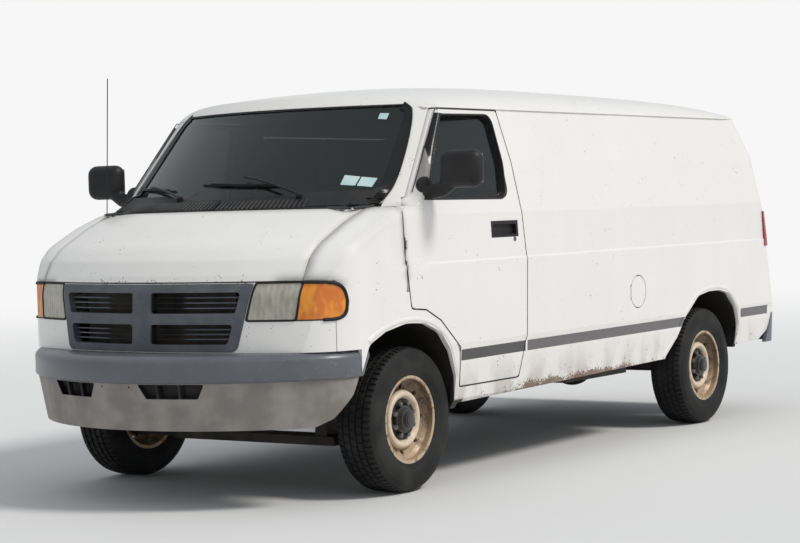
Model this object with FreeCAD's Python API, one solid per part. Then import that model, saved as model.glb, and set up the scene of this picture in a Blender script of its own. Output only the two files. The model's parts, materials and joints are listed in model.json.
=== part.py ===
import FreeCAD, Part
import math
import os

# Cargo van, long wheelbase, as separately named sub-parts.
# Millimetres. X forward, Y to the van's left, Z up from the ground.
# Stations along X are measured from the front axle. Every solid is moved by
# ORIGIN_SHIFT when it is written, so the origin is under the middle of the van.

V = FreeCAD.Vector

# Overall sizes
WHEELBASE = 3241.0
FRONT_END = 1100.0
REAR_END = -4330.0
ORIGIN_SHIFT = -(FRONT_END + REAR_END) / 2.0

# Wheels
TYRE_RADIUS = 357.0
FRONT_TRACK_HALF = 842.0
REAR_TRACK_HALF = 854.0
SPINDLE_RADIUS = 34.0
RUNNING_GAP = 0.3
KINGPIN_Y = 832.0
KINGPIN_RADIUS = 16.0
WHEEL_NUTS = 8
NUT_CIRCLE = 82.5

# Body skin
SIDE_WALL = 56.0
ROOF_WALL = 36.0
SKIN_LAYER = 18.0
SHUT_GAP = 7.0
INNER_GAP = 16.0
GASKET = 6.0
RAIL_REACH = 9.0
RAIL_Z = 1893.0

OPEN_BOTTOM = 250.0
NOSE_WALL = 26.0

# Nose
NOSE_AXIS_X = -1215.0
HOOD_HALF_WIDTH = 820.0
HOOD_BOTTOM_Z = 1066.0
CORNER_RADIUS = 300.0
CORNER_Y = 985.0
NOSE_RADIUS = 2100.0
# Plan outlines: axis x of the bowed front, its radius, corner radius, side y
BODY_PLAN = (NOSE_AXIS_X, NOSE_RADIUS, CORNER_RADIUS, CORNER_Y)
BUMPER_PLAN = (FRONT_END - 1180.0, 1180.0, 350.0, 980.0)

# Door hinges: the axis lies HINGE_SETBACK inside the skin and inside the leaf's edge
HINGE_SETBACK = 9.0
HINGE_KNUCKLE = 8.0
HINGE_PIN = 4.0
HINGE_AXIS_Y = 1004.0 - HINGE_SETBACK
FRONT_HINGE_X = 88.0 - HINGE_SETBACK
FRONT_HINGE_SPANS = ((1092, 1136), (1190, 1234))
CARGO_HINGE_SPANS = ((760, 820), (1150, 1210))
REAR_HINGE_LOW = (-4228.0, 690.0)
REAR_HINGE_HIGH = (-4142.0, 1650.0)
REAR_HINGE_SPANS = ((70, 140), (600, 670), (860, 930))
HOOD_HINGE = (174.0, 1394.0)

# Half of the body's cross-section, from the sill to the drip rail: y, z
SECTION_SKIN = (
    (934, 372),
    (966, 420),
    (985, 600),
    (988, 664),
    (995, 700),
    (1004, 1110),
    (998, 1120),
    (988, 1352),
    (932, 1622),
    (862, 1893),
    (845, 1960),
    (845, 2150),
)
# The same section without its creases, for the inner faces: y, z
SECTION_PLAIN = (
    (946, 372),
    (992, 700),
    (1002, 1117),
    (988, 1352),
    (862, 1893),
    (845, 1960),
    (845, 2150),
)
# Roof surface: station x, height at the middle, height over the drip rail
ROOF_STATIONS = (
    (-60, 1944, 1884),
    (-420, 1996, 1895),
    (-1000, 2044, 1900),
    (-1900, 2061, 1903),
    (-3000, 2050, 1903),
    (-3750, 2013, 1900),
    (-4300, 1922, 1850),
)
# Roof shape across: y, part of the crown height that is left
ROOF_CROWN = (
    (0, 1.0),
    (330, 0.93),
    (620, 0.68),
    (790, 0.33),
    (862, 0.0),
    (960, -1.1),
    (1060, -2.6),
)
# Rear and lower edge of the body in side view: x, z, corner radius
BODY_SIDE_VIEW = (
    (1300, 372, 0),
    (400, 386, 0),
    (-4010, 466, 40),
    (-4215, 560, 60),
    (-4235, 690, 200),
    (-4166, 1296, 60),
    (-4132, 1400, 200),
    (-4134, 1650, 160),
    (-4010, 1885, 160),
    (-3860, 2090, 0),
    (1300, 2090, 0),
)
# Nose surface in side view at the middle of the van: x, z, corner radius
NOSE_VIEW = (
    (-1215, 372, 0),
    (858, 372, 0),
    (884, 740, 300),
    (868, 1010, 120),
    (838, 1098, 60),
    (800, 1170, 60),
    (738, 1232, 200),
    (560, 1328, 500),
    (390, 1400, 300),
    (-1215, 1405, 0),
)
# Rounded rear corners: height, rear face x, side y, radius
TAIL_CORNER = (
    (300, -4235, 962, 60),
    (690, -4235, 994, 60),
    (1296, -4166, 992, 120),
    (1400, -4132, 984, 120),
    (1650, -4134, 926, 120),
    (1885, -4010, 864, 120),
    (2200, -3780, 845, 120),
)
# Upper body narrows ahead of the front door's rear edge: y, z at that edge and at the cowl
TAPER_STATIONS = (-1030.0, 150.0)
TAPER_SECTIONS = (
    (
        (988, 1352), (984, 1376), (980, 1396), (975.5, 1412),
        (932, 1622), (862, 1893), (845, 1960), (845, 2150), (1150, 2150), (1150, 1352),
    ),
    (
        (988, 1352), (958, 1388), (918, 1416), (874, 1442),
        (829, 1622), (759, 1893), (742, 1960), (742, 2150), (1150, 2150), (1150, 1352),
    ),
)
# Windshield: two points of its middle line and its bend
GLASS_LOW = (293, 1400)
GLASS_HIGH = (-212, 1934)
GLASS_BEND_RADIUS = 1930.0
GLASS_THICKNESS = 6.0
GLASS_SET_BACK = 5.0

# Front door outline in side view: x, z, corner radius
FRONT_DOOR = (
    (-425, 1886, 25),
    (-62, 1440, 12),
    (86, 1386, 40),
    (88, 1126, 200),
    (47, 904, 30),
    (-78, 893, 60),
    (-209, 833, 60),
    (-391, 684, 60),
    (-400, 486, 12),
    (-971, 486, 30),
    (-1036, 700, 200),
    (-1045, 1121, 200),
    (-1022, 1371, 200),
    (-1018, 1600, 200),
    (-988, 1886, 20),
)
FRONT_DOOR_WINDOW = (
    (-440, 1852, 22),
    (-134, 1436, 14),
    (-895, 1430, 60),
    (-925, 1600, 300),
    (-918, 1858, 55),
)
# Wheel arch openings in side view: x, z, corner radius
FRONT_ARCH = (
    (560, 300, 0),
    (470, 600, 40),
    (396, 752, 60),
    (270, 806, 80),
    (100, 834, 120),
    (-60, 826, 80),
    (-206, 772, 80),
    (-306, 668, 80),
    (-358, 540, 60),
    (-352, 300, 0),
)
REAR_ARCH = (
    (-2690, 300, 0),
    (-2672, 446, 40),
    (-2818, 560, 80),
    (-2930, 690, 120),
    (-3090, 796, 120),
    (-3235, 816, 120),
    (-3389, 816, 120),
    (-3530, 790, 100),
    (-3650, 690, 80),
    (-3692, 570, 60),
    (-3640, 446, 40),
    (-3640, 300, 0),
)
# Right-hand cargo doors: hinge station, meeting station, free height range
CARGO_DOOR_FRONT = -1165.0
CARGO_DOOR_MEET = -1745.0
CARGO_DOOR_REAR = -2465.0
CARGO_DOOR_LOW = 500.0
CARGO_DOOR_HIGH = 1815.0
# Rear doors
REAR_DOOR_EDGE = 838.0
REAR_DOOR_LOW = 644.0
REAR_DOOR_HIGH = 1800.0
MEETING_GAP = 10.0

# Floor and chassis
CAB_FLOOR_HALF = 908.0
LOAD_FLOOR_HALF = 945.0
ENGINE_COVER_HALF = 300.0
ENGINE_COVER_TOP = 997.0
REAR_BOX_INNER = 634.0
CAB_FLOOR = (540.0, 570.0)
LOAD_FLOOR = (540.0, 604.0)
RAIL_INNER = 400.0
RAIL_OUTER = 470.0
FRAME_LOW = 440.0
FRAME_HIGH = 540.0
WHEELHOUSE_INNER = 545.0
STEER_SWEEP = 388.0

PARTS = {}


def keep(name, shape):
    """Store a finished sub-part under its node name."""
    PARTS[name] = shape


# Outlines and simple solids


def corner_points(before, corner, after, radius):
    """Start, middle and end of the arc that rounds one corner."""
    back = (before - corner).normalize()
    ahead = (after - corner).normalize()
    half = math.acos(max(-1.0, min(1.0, back.dot(ahead)))) / 2.0
    reach = radius / math.tan(half)
    inward = (back + ahead).normalize()
    centre = corner + inward * (radius / math.sin(half))
    return corner + back * reach, centre - inward * radius, corner + ahead * reach


def outline(points, place):
    """Closed wire of straight runs with rounded corners."""
    spots = [place(p[0], p[1]) for p in points]
    radii = [p[2] if len(p) > 2 else 0 for p in points]
    count = len(spots)
    edges = []
    starts = []
    ends = []
    for i in range(count):
        if radii[i] > 0:
            a, m, b = corner_points(spots[i - 1], spots[i], spots[(i + 1) % count], radii[i])
            edges.append(Part.Arc(a, m, b).toShape())
        else:
            a = b = spots[i]
        starts.append(a)
        ends.append(b)
    for i in range(count):
        a = ends[i]
        b = starts[(i + 1) % count]
        if a.distanceToPoint(b) > 0.01:
            edges.append(Part.makeLine(a, b))
    return Part.Wire(Part.__sortEdges__(edges))


def prism(points, axis, low, high):
    """Outline pushed along X, Y or Z from low to high."""
    if axis == "x":
        wire = outline(points, lambda u, v: V(low, u, v))
        way = V(high - low, 0, 0)
    elif axis == "y":
        wire = outline(points, lambda u, v: V(u, low, v))
        way = V(0, high - low, 0)
    else:
        wire = outline(points, lambda u, v: V(u, v, low))
        way = V(0, 0, high - low)
    return Part.Face(wire).extrude(way)


def box(x0, x1, y0, y1, z0, z1):
    return Part.makeBox(x1 - x0, y1 - y0, z1 - z0, V(x0, y0, z0))


def rod(a, b, radius):
    """Round bar between two points."""
    start = V(*a)
    way = V(*b) - start
    return Part.makeCylinder(radius, way.Length, start, way)


def mirrored(shape):
    return shape.mirror(V(0, 0, 0), V(0, 1, 0))


def pair(shape):
    return Part.makeCompound([shape, mirrored(shape)])


def fuse(shapes):
    result = shapes[0].multiFuse(shapes[1:])
    return result.removeSplitter()


def grown(points, distance):
    """Outline moved outward by a distance, run by run."""
    count = len(points)
    area = sum(points[i - 1][0] * points[i][1] - points[i][0] * points[i - 1][1] for i in range(count))
    side = 1.0 if area > 0 else -1.0
    lines = []
    for i in range(count):
        ax, ay = points[i][0], points[i][1]
        bx, by = points[(i + 1) % count][0], points[(i + 1) % count][1]
        length = math.hypot(bx - ax, by - ay)
        nx, ny = side * (by - ay) / length, -side * (bx - ax) / length
        lines.append((ax + nx * distance, ay + ny * distance, bx - ax, by - ay))
    result = []
    for i in range(count):
        px, py, dx, dy = lines[i - 1]
        qx, qy, ex, ey = lines[i]
        cross = dx * ey - dy * ex
        radius = points[i][2] if len(points[i]) > 2 else 0
        if abs(cross) < 1e-6:
            result.append((qx, qy, radius))
            continue
        t = ((qx - px) * ey - (qy - py) * ex) / cross
        result.append((px + dx * t, py + dy * t, radius))
    return result


# Body masters: the outer skin and its inner faces


def section_prism(inset):
    """The body's cross-section along its whole length. Inner ones are open below."""
    half = SECTION_SKIN if inset == 0 else SECTION_PLAIN
    ring = list(half) + [(-y, z) for y, z in reversed(half)]
    if inset:
        ring = grown(ring, -inset)
        ring = [(y, OPEN_BOTTOM if z < 500 else z) for y, z, _ in ring]
    return prism(ring, "x", -4500, 1300)


def roof_wire(x, middle, edge, drop):
    crown = middle - edge
    half = [(y, edge + crown * part - drop) for y, part in ROOF_CROWN]
    points = [V(x, -y, z) for y, z in reversed(half[1:])] + [V(x, y, z) for y, z in half]
    curve = Part.BSplineCurve()
    curve.interpolate(points)
    top = curve.toShape()
    low_right = V(x, points[0].y, OPEN_BOTTOM)
    low_left = V(x, points[-1].y, OPEN_BOTTOM)
    sides = [Part.makeLine(points[-1], low_left), Part.makeLine(low_left, low_right)]
    return Part.Wire([top] + sides + [Part.makeLine(low_right, points[0])])


def roof_solid(drop):
    """Everything under the roof surface."""
    wires = [roof_wire(x, middle, edge, drop) for x, middle, edge in ROOF_STATIONS]
    front = ROOF_STATIONS[0][0]
    ahead = box(front - 1, 1300, -1200, 1200, OPEN_BOTTOM, ROOF_STATIONS[0][2] - drop)
    return Part.makeLoft(wires, True, False).fuse(ahead)


def plan_wire(growth, nose_shift, plan=BODY_PLAN):
    """Plan view of the body or bumper: bowed front, rounded front corners, square tail."""
    axis_x, radius, corner_radius, side_y = plan
    nose = radius + nose_shift + growth
    corner = corner_radius + growth
    side = side_y + growth
    wide = side + 40
    cx = axis_x + math.sqrt((nose - corner) ** 2 - (side - corner) ** 2)
    turn = math.atan2(side - corner, cx - axis_x)
    half_turn = (turn + math.pi / 2) / 2
    meet = V(axis_x + nose * math.cos(turn), nose * math.sin(turn), 0)
    middle = V(cx + corner * math.cos(half_turn), side - corner + corner * math.sin(half_turn), 0)
    end = V(cx, side, 0)
    left = [end, V(-200, wide, 0), V(-4400, wide, 0)]
    right = [V(p.x, -p.y, 0) for p in reversed(left)]
    run = left + right
    edges = [Part.makeLine(a, b) for a, b in zip(run, run[1:])]
    edges.append(Part.Arc(V(end.x, -end.y, 0), V(middle.x, -middle.y, 0), V(meet.x, -meet.y, 0)).toShape())
    edges.append(Part.Arc(V(meet.x, -meet.y, 0), V(axis_x + nose, 0, 0), meet).toShape())
    edges.append(Part.Arc(meet, middle, end).toShape())
    return Part.Wire(edges)


def plan_prism(growth, nose_shift, z0, z1, plan=BODY_PLAN):
    face = Part.Face(plan_wire(growth, nose_shift, plan))
    return face.extrude(V(0, 0, z1 - z0)).translated(V(0, 0, z0))


def tail_corner_wire(z, x_rear, y_side, radius):
    """What lies outside one rounded rear corner at one height."""
    near = V(x_rear, y_side - radius, z)
    far = V(x_rear + radius, y_side, z)
    reach = radius * (1 - math.sqrt(0.5))
    middle = V(x_rear + reach, y_side - reach, z)
    out = 90
    corners = [far, V(far.x, y_side + out, z), V(x_rear - out, y_side + out, z), V(x_rear - out, near.y, z), near]
    edges = [Part.Arc(near, middle, far).toShape()]
    edges += [Part.makeLine(a, b) for a, b in zip(corners, corners[1:])]
    return Part.Wire(edges)


def tail_corners(inset):
    """Cutter that rounds both rear corners."""
    wires = [
        tail_corner_wire(z, x + inset, y - inset, max(radius - inset, 30.0))
        for z, x, y, radius in TAIL_CORNER
    ]
    return pair(Part.makeLoft(wires, True, True))


def side_view_prism(inset):
    ring = list(BODY_SIDE_VIEW)
    if inset:
        ring = [p for p in grown(ring, -inset) if p[1] > 600]
        ring += [(1300, OPEN_BOTTOM, 0), (ring[0][0], OPEN_BOTTOM, 0)]
    return prism(ring, "y", -1200, 1200)


def nose_solid(inset):
    """Everything under the hood and behind the nose, turned about the nose axis."""
    ring = list(NOSE_VIEW)
    if inset:
        ring = grown(ring, -inset)
        ring = [(p[0], OPEN_BOTTOM if p[1] < 500 else p[1], p[2]) for p in ring]
    ring = [(max(p[0], NOSE_AXIS_X), p[1], p[2]) for p in ring]
    face = Part.Face(outline(ring, lambda u, v: V(u, 0, v)))
    centre = V(NOSE_AXIS_X, 0, 0)
    upright = V(0, 0, 1)
    face.rotate(centre, upright, -90)
    return face.revolve(centre, upright, 180)


def ahead_of_glass(inset):
    """Everything in front of the bent windshield surface."""
    low = V(GLASS_LOW[0], 0, GLASS_LOW[1])
    high = V(GLASS_HIGH[0], 0, GLASS_HIGH[1])
    way = (high - low).normalize()
    normal = V(way.z, 0, -way.x)
    base = low - way * 2600 - normal * GLASS_BEND_RADIUS
    reach = GLASS_BEND_RADIUS + 2500
    corners = [base, base + way * 5200, base + way * 5200 + normal * reach, base + normal * reach]
    block = prism([(p.x, p.z) for p in corners], "y", -1250, 1250)
    return block.cut(Part.makeCylinder(GLASS_BEND_RADIUS - inset, 5200, base, way))


def front_taper(inset):
    """Cutter that narrows the upper body towards the windshield, both sides."""
    wires = []
    for x, section in zip(TAPER_STATIONS, TAPER_SECTIONS):
        corners = [V(x, y - inset, z) for y, z in section]
        wires.append(Part.makePolygon(corners + corners[:1]))
    cutter = Part.makeLoft(wires, True, True)
    ahead = prism([(y - inset, z) for y, z in TAPER_SECTIONS[1]], "x", TAPER_STATIONS[1], 1300)
    return pair(cutter.fuse(ahead))


def cabin_volume(side, top):
    """The cab and load space, cut back by the wall thicknesses given."""
    shape = section_prism(side)
    for tool in (side_view_prism(side), roof_solid(top), box(-4400, 700, -1100, 1100, OPEN_BOTTOM, 2200)):
        shape = shape.common(tool)
    for tool in (ahead_of_glass(side), tail_corners(side), front_taper(side)):
        shape = shape.cut(tool)
    return shape


def nose_volume(wall):
    shape = section_prism(wall).common(nose_solid(wall)).common(plan_prism(-wall, 0, 200, 1500))
    shape = shape.cut(front_taper(wall))
    return shape.common(box(-700, 1300, -1100, 1100, 200, 1500))


CABIN = cabin_volume(0, 0)
CABIN_LAYER = cabin_volume(SKIN_LAYER, SKIN_LAYER)
CABIN_PROUD = cabin_volume(-RAIL_REACH, 0)
CABIN_SHELL = CABIN.cut(cabin_volume(SIDE_WALL, ROOF_WALL))
NOSE = nose_volume(0)
NOSE_SHELL = NOSE.cut(nose_volume(NOSE_WALL))


def side_prism(points, growth=0.0):
    """Side-view outline as a prism through the left half."""
    ring = grown(points, growth) if growth else points
    return prism(ring, "y", 400, 1200)


def stepped_opening(narrow, wide):
    """Opening with a narrow gap at the skin and a wider one behind it."""
    return narrow.fuse(wide.common(CABIN_LAYER))


# Hinges


def upright_hinge(x, y, spans, side):
    """Pins for the leaf, pockets in it, and knuckles for the post. side is +1 or -1 along X."""
    pins = []
    pockets = []
    knuckles = []
    for z0, z1 in spans:
        pins.append(rod((x, y, z0 - 14), (x, y, z1 + 14), HINGE_PIN))
        notch = box(min(x, x + side * 12), max(x, x + side * 12), y - 16, y + 16, z0, z1)
        pockets.append(rod((x, y, z0), (x, y, z1), HINGE_KNUCKLE + 1.5).fuse(notch))
        arm = box(min(x, x + side * 34), max(x, x + side * 34), y - HINGE_KNUCKLE, y - 1, z0 + 1, z1 - 1)
        knuckle = rod((x, y, z0 + 1), (x, y, z1 - 1), HINGE_KNUCKLE).fuse(arm)
        knuckles.append(knuckle.cut(rod((x, y, z0), (x, y, z1), HINGE_PIN + RUNNING_GAP)))
    return pins, pockets, knuckles


def edge_round(x, y, side):
    """What lies outside the rounded leading edge of a leaf."""
    reach = 40.0
    corner = box(min(x, x + side * reach), max(x, x + side * reach), y, y + reach, 400, 1900)
    return corner.cut(rod((x, y, 300), (x, y, 2000), HINGE_SETBACK))


def hang(leaf, post, hinge):
    """Fit a leaf and its post with hinge pieces."""
    pins, pockets, knuckles = hinge
    for pocket in pockets:
        leaf = leaf.cut(pocket)
    for pin in pins:
        leaf = leaf.fuse(pin)
    for knuckle in knuckles:
        post = post.fuse(knuckle)
    return leaf, post


# Front doors and the posts around them


def front_door_shapes():
    """Left front door leaf with its window cut out, and its glass."""
    leaf = CABIN.fuse(NOSE).common(side_prism(FRONT_DOOR))
    leaf = leaf.cut(section_prism(SIDE_WALL).cut(front_taper(SIDE_WALL)))
    leaf = leaf.cut(side_prism(FRONT_DOOR_WINDOW))
    leaf = leaf.cut(edge_round(FRONT_HINGE_X, HINGE_AXIS_Y, 1))
    pane = cabin_volume(16, 16).cut(cabin_volume(21, 21)).common(side_prism(FRONT_DOOR_WINDOW, -0.2))
    return leaf, pane


def door_opening():
    return stepped_opening(side_prism(FRONT_DOOR, SHUT_GAP), side_prism(FRONT_DOOR, INNER_GAP))


FENDER_VIEW = (
    (-402, 300),
    (-402, 640),
    (-100, 1040),
    (60, 1300),
    (-60, 1405),
    (1200, 1405),
    (1200, 300),
)
# Where the nose panel takes over from the fender in side view
NOSE_PANEL_BACK = 600.0
NOSE_PANEL_TOP = 1063.0
NOSE_PANEL_LOW = 736.0
# Heights between which the fender is cut back from the door's swinging front edge, and that cut's radius
DOOR_TIP_SWING = (985.0, 1091.0)
SWING_RADIUS = 14.5
FENDER_LOW_FRONT = 456.0


def fender_shape():
    shape = NOSE_SHELL.common(side_prism(FENDER_VIEW))
    shape = shape.cut(side_prism(FRONT_DOOR, SHUT_GAP))
    shape = shape.cut(side_prism(FRONT_ARCH))
    shape = shape.cut(box(-900, 1300, -10, HOOD_HALF_WIDTH + 3, 300, 1500))
    shape = shape.cut(box(NOSE_PANEL_BACK - 3, 1300, 0, 1200, 300, NOSE_PANEL_TOP + 3))
    shape = shape.cut(box(FENDER_LOW_FRONT, 1300, 0, 1200, 300, NOSE_PANEL_LOW))
    shape = shape.cut(lamp_views(GASKET)[1])
    low, high = DOOR_TIP_SWING
    shape = shape.cut(rod((FRONT_HINGE_X, HINGE_AXIS_Y, low), (FRONT_HINGE_X, HINGE_AXIS_Y, high), SWING_RADIUS))
    post = box(112, 172, 872, 962, 870, 1372)
    post = post.cut(side_prism(FRONT_DOOR, INNER_GAP))
    return shape.fuse(post.common(NOSE))


def build_fronts():
    leaf, pane = front_door_shapes()
    fender = fender_shape()
    hinge = upright_hinge(FRONT_HINGE_X, HINGE_AXIS_Y, FRONT_HINGE_SPANS, 1)
    leaf, fender = hang(leaf, fender, hinge)
    keep("door_front_left", leaf)
    keep("door_front_right", mirrored(leaf))
    keep("glass_front_left", pane)
    keep("glass_front_right", mirrored(pane))
    keep("fenders", pair(fender))


# Body sides, roof and the cargo doors


def cargo_outline(x_front, x_rear):
    return (
        (x_front, CARGO_DOOR_LOW, 30),
        (x_front, CARGO_DOOR_HIGH, 30),
        (x_rear, CARGO_DOOR_HIGH, 30),
        (x_rear, CARGO_DOOR_LOW, 30),
    )


def body_side_shape():
    """Left wall from the front door's rear edge to the rear door."""
    region = prism(((-402, 300), (-402, 560), (-700, 900), (-700, RAIL_Z), (-4400, RAIL_Z), (-4400, 300)), "y", 0, 1200)
    shape = CABIN_SHELL.common(region)
    shape = shape.cut(door_opening())
    shape = shape.cut(side_prism(REAR_ARCH))
    return shape.cut(rear_opening())


def rear_door_view(growth):
    y = REAR_DOOR_EDGE + growth
    low = REAR_DOOR_LOW - growth
    high = REAR_DOOR_HIGH + growth
    return ((-y, low, 60), (y, low, 60), (y, high, 60), (-y, high, 60))


def rear_opening():
    narrow = prism(rear_door_view(SHUT_GAP), "x", -4500, -3700)
    wide = prism(rear_door_view(INNER_GAP), "x", -4500, -3700)
    return stepped_opening(narrow, wide)


def rear_hinge():
    """Hinge pieces along the leaning rear axis, left side."""
    low = V(REAR_HINGE_LOW[0], 0, REAR_HINGE_LOW[1])
    high = V(REAR_HINGE_HIGH[0], 0, REAR_HINGE_HIGH[1])
    way = (high - low).normalize()
    y = REAR_DOOR_EDGE - HINGE_SETBACK
    pins = []
    pockets = []
    knuckles = []
    for a, b in REAR_HINGE_SPANS:
        start = V(low.x, y, low.z) + way * a
        end = V(low.x, y, low.z) + way * b
        pin = Part.makeCylinder(HINGE_PIN, b - a + 28, start - way * 14, way)
        for foot in (start - way * 14, end + way * 2):
            lug = Part.makeCylinder(HINGE_KNUCKLE - 1, 12, foot, way)
            strap = box(foot.x - 3, foot.x + 24, y - 46, y, foot.z + 1, foot.z + 11)
            pin = pin.fuse(lug).fuse(strap)
        pins.append(pin)
        notch = box(end.x - 40, end.x + 40, y, y + 12, start.z + 1, end.z - 1)
        pockets.append(Part.makeCylinder(HINGE_KNUCKLE + 1.5, b - a, start, way).fuse(notch))
        bore = Part.makeCylinder(HINGE_PIN + RUNNING_GAP, b - a, start, way)
        knuckle = Part.makeCylinder(HINGE_KNUCKLE, b - a - 2, start + way, way)
        arm = box(end.x - 2, end.x + 20, y, y + 44, start.z + 6, end.z - 6)
        knuckles.append(knuckle.fuse(arm).cut(bore))
    return pins, pockets, knuckles


def build_sides():
    left = body_side_shape()
    right = mirrored(left)
    leaves = []
    view_a = cargo_outline(CARGO_DOOR_FRONT, CARGO_DOOR_MEET + MEETING_GAP / 2)
    view_b = cargo_outline(CARGO_DOOR_MEET - MEETING_GAP / 2, CARGO_DOOR_REAR)
    whole = cargo_outline(CARGO_DOOR_FRONT, CARGO_DOOR_REAR)
    right_opening = mirrored(stepped_opening(side_prism(whole, SHUT_GAP), side_prism(whole, INNER_GAP)))
    right = right.cut(right_opening)
    for view, x, side in ((view_a, CARGO_DOOR_FRONT - HINGE_SETBACK, 1), (view_b, CARGO_DOOR_REAR + HINGE_SETBACK, -1)):
        leaf = CABIN_SHELL.common(side_prism(view))
        leaf = leaf.cut(edge_round(x, HINGE_AXIS_Y, side))
        meet = box(CARGO_DOOR_MEET - INNER_GAP, CARGO_DOOR_MEET + INNER_GAP, 700, 1200, 300, 2000)
        leaf = leaf.cut(meet.common(CABIN_LAYER))
        leaf, post = hang(mirrored(leaf), right, [[mirrored(s) for s in group] for group in upright_hinge(x, HINGE_AXIS_Y, CARGO_HINGE_SPANS, side)])
        leaves.append(leaf)
        right = post
    keep("cargo_door_front", leaves[0])
    keep("cargo_door_rear", leaves[1])
    left, flap = fuel_filler(left)
    hinge = rear_hinge()
    doors = CABIN_SHELL.common(prism(rear_door_view(0), "x", -4500, -3700))
    leaf = doors.common(box(-4500, -3700, MEETING_GAP / 2, 1000, 500, 1950))
    leaf = leaf.cut(box(-4500, -3700, -20, INNER_GAP, 500, 1950).common(CABIN_LAYER))
    windows = prism(REAR_WINDOW, "x", -4500, -3700)
    pane = cabin_volume(16, 16).cut(cabin_volume(21, 21)).common(prism(grown(REAR_WINDOW, -0.2), "x", -4500, -3700))
    leaf = leaf.cut(windows)
    leaf, left = hang(leaf, left, hinge)
    for knuckle in hinge[2]:
        right = right.fuse(mirrored(knuckle))
    lamp = tail_lamp_region()
    core = cabin_volume(12, 12)
    keep("tail_lamps", pair(CABIN_PROUD.cut(core).common(lamp)))
    pocket = lamp.cut(core)
    left = left.cut(pocket)
    right = right.cut(mirrored(pocket))
    keep("rear_door_left", leaf)
    keep("rear_door_right", mirrored(leaf))
    keep("rear_glass_left", pane)
    keep("rear_glass_right", mirrored(pane))
    keep("body_side_left", left)
    keep("body_side_right", right)
    keep("fuel_flap", flap)


TAIL_LAMP_FRONT = -4056.0
TAIL_LAMP_INNER = 872.0
TAIL_LAMP_LOW = 1071.0
TAIL_LAMP_HIGH = 1294.0
REAR_WINDOW = (
    (110, 1395, 60),
    (742, 1395, 60),
    (700, 1742, 60),
    (110, 1742, 60),
)
FUEL_CENTRE = (-2300.0, 863.0)
FUEL_RADIUS = 91.0
FUEL_POCKET = 40.0


def fuel_filler(left):
    """Round flap on the left side and the pocket behind it."""
    x, z = FUEL_CENTRE
    disc = rod((x, 900, z), (x, 1100, z), FUEL_RADIUS)
    flap = CABIN.cut(cabin_volume(5, 5)).common(disc)
    pocket = rod((x, 1000 - FUEL_POCKET, z), (x, 1100, z), FUEL_RADIUS + 6)
    left = left.cut(pocket)
    left = left.cut(box(x + FUEL_RADIUS - 6, x + FUEL_RADIUS + 6.5, 972, 1010, z - 44, z + 44))
    left = left.fuse(rod((x - 8, 1000 - FUEL_POCKET - 1, z), (x - 8, 1000 - 18, z), 34))
    axis_x = x + FUEL_RADIUS - 3
    axis_y = 999 - 5
    pins = [rod((axis_x, axis_y, z - 24), (axis_x, axis_y, z + 24), 2)]
    block = box(axis_x - 5, axis_x + 10, axis_y - 9, axis_y + 16, z - 13, z + 13)
    knuckle = rod((axis_x, axis_y, z - 12), (axis_x, axis_y, z + 12), 3.8)
    knuckle = knuckle.fuse(box(axis_x, axis_x + 14, axis_y - 3.6, axis_y + 1, z - 12, z + 12))
    knuckle = knuckle.cut(rod((axis_x, axis_y, z - 20), (axis_x, axis_y, z + 20), 2.3))
    flap = flap.fuse(box(axis_x - 12, axis_x + 1, axis_y - 2, axis_y + 2, z - 24, z - 13))
    flap = flap.fuse(box(axis_x - 12, axis_x + 1, axis_y - 2, axis_y + 2, z + 13, z + 24))
    flap, left = hang(flap.cut(block), left, (pins, [], [knuckle]))
    return left, flap


def tail_lamp_region():
    return box(-4400, TAIL_LAMP_FRONT, TAIL_LAMP_INNER, 1200, TAIL_LAMP_LOW, TAIL_LAMP_HIGH)


# Drip rail along both roof edges
RAIL_ENDS = (-4020.0, -400.0)


def build_roof():
    shape = CABIN_SHELL.common(box(-4400, 400, -1200, 1200, RAIL_Z, 2200))
    shape = shape.cut(windshield_opening())
    rail = CABIN_PROUD.cut(CABIN).common(box(RAIL_ENDS[0], RAIL_ENDS[1], -1200, 1200, RAIL_Z, RAIL_Z + 9))
    shape = shape.fuse(rail)
    keep("roof", shape)


def windshield_plane(points, low, high):
    """Prism square to the glass, from a front-view outline of half the pane."""
    ring = list(points) + [(-y, z, r) for y, z, r in reversed(points)]
    face = Part.Face(outline(ring, lambda u, v: V(0, u, v)))
    return face.extrude(V(high - low, 0, 0)).translated(V(low, 0, 0))


WINDSHIELD_VIEW = (
    (822, 1406, 30),
    (742, 1908, 50),
)


def windshield_opening():
    return windshield_plane(WINDSHIELD_VIEW, -700, 600)


def build_windshield():
    view = prism(((-700, RAIL_Z), (-300, 1405.5), (700, 1405.5), (700, RAIL_Z)), "y", -1200, 1200)
    frame = CABIN_SHELL.common(view)
    frame = frame.cut(side_prism(FRONT_DOOR, SHUT_GAP)).cut(mirrored(side_prism(FRONT_DOOR, SHUT_GAP)))
    frame = frame.cut(windshield_opening())
    keep("windshield_frame", frame)
    sheet = ahead_of_glass(GLASS_SET_BACK + GLASS_THICKNESS).cut(ahead_of_glass(GLASS_SET_BACK))
    keep("windshield", sheet.common(windshield_plane([(y - 0.2, z, r) for y, z, r in WINDSHIELD_VIEW], -700, 600)).common(box(-700, 600, -900, 900, 1406.5, 1958)))


# Hood, nose panel, grille and lamps

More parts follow.
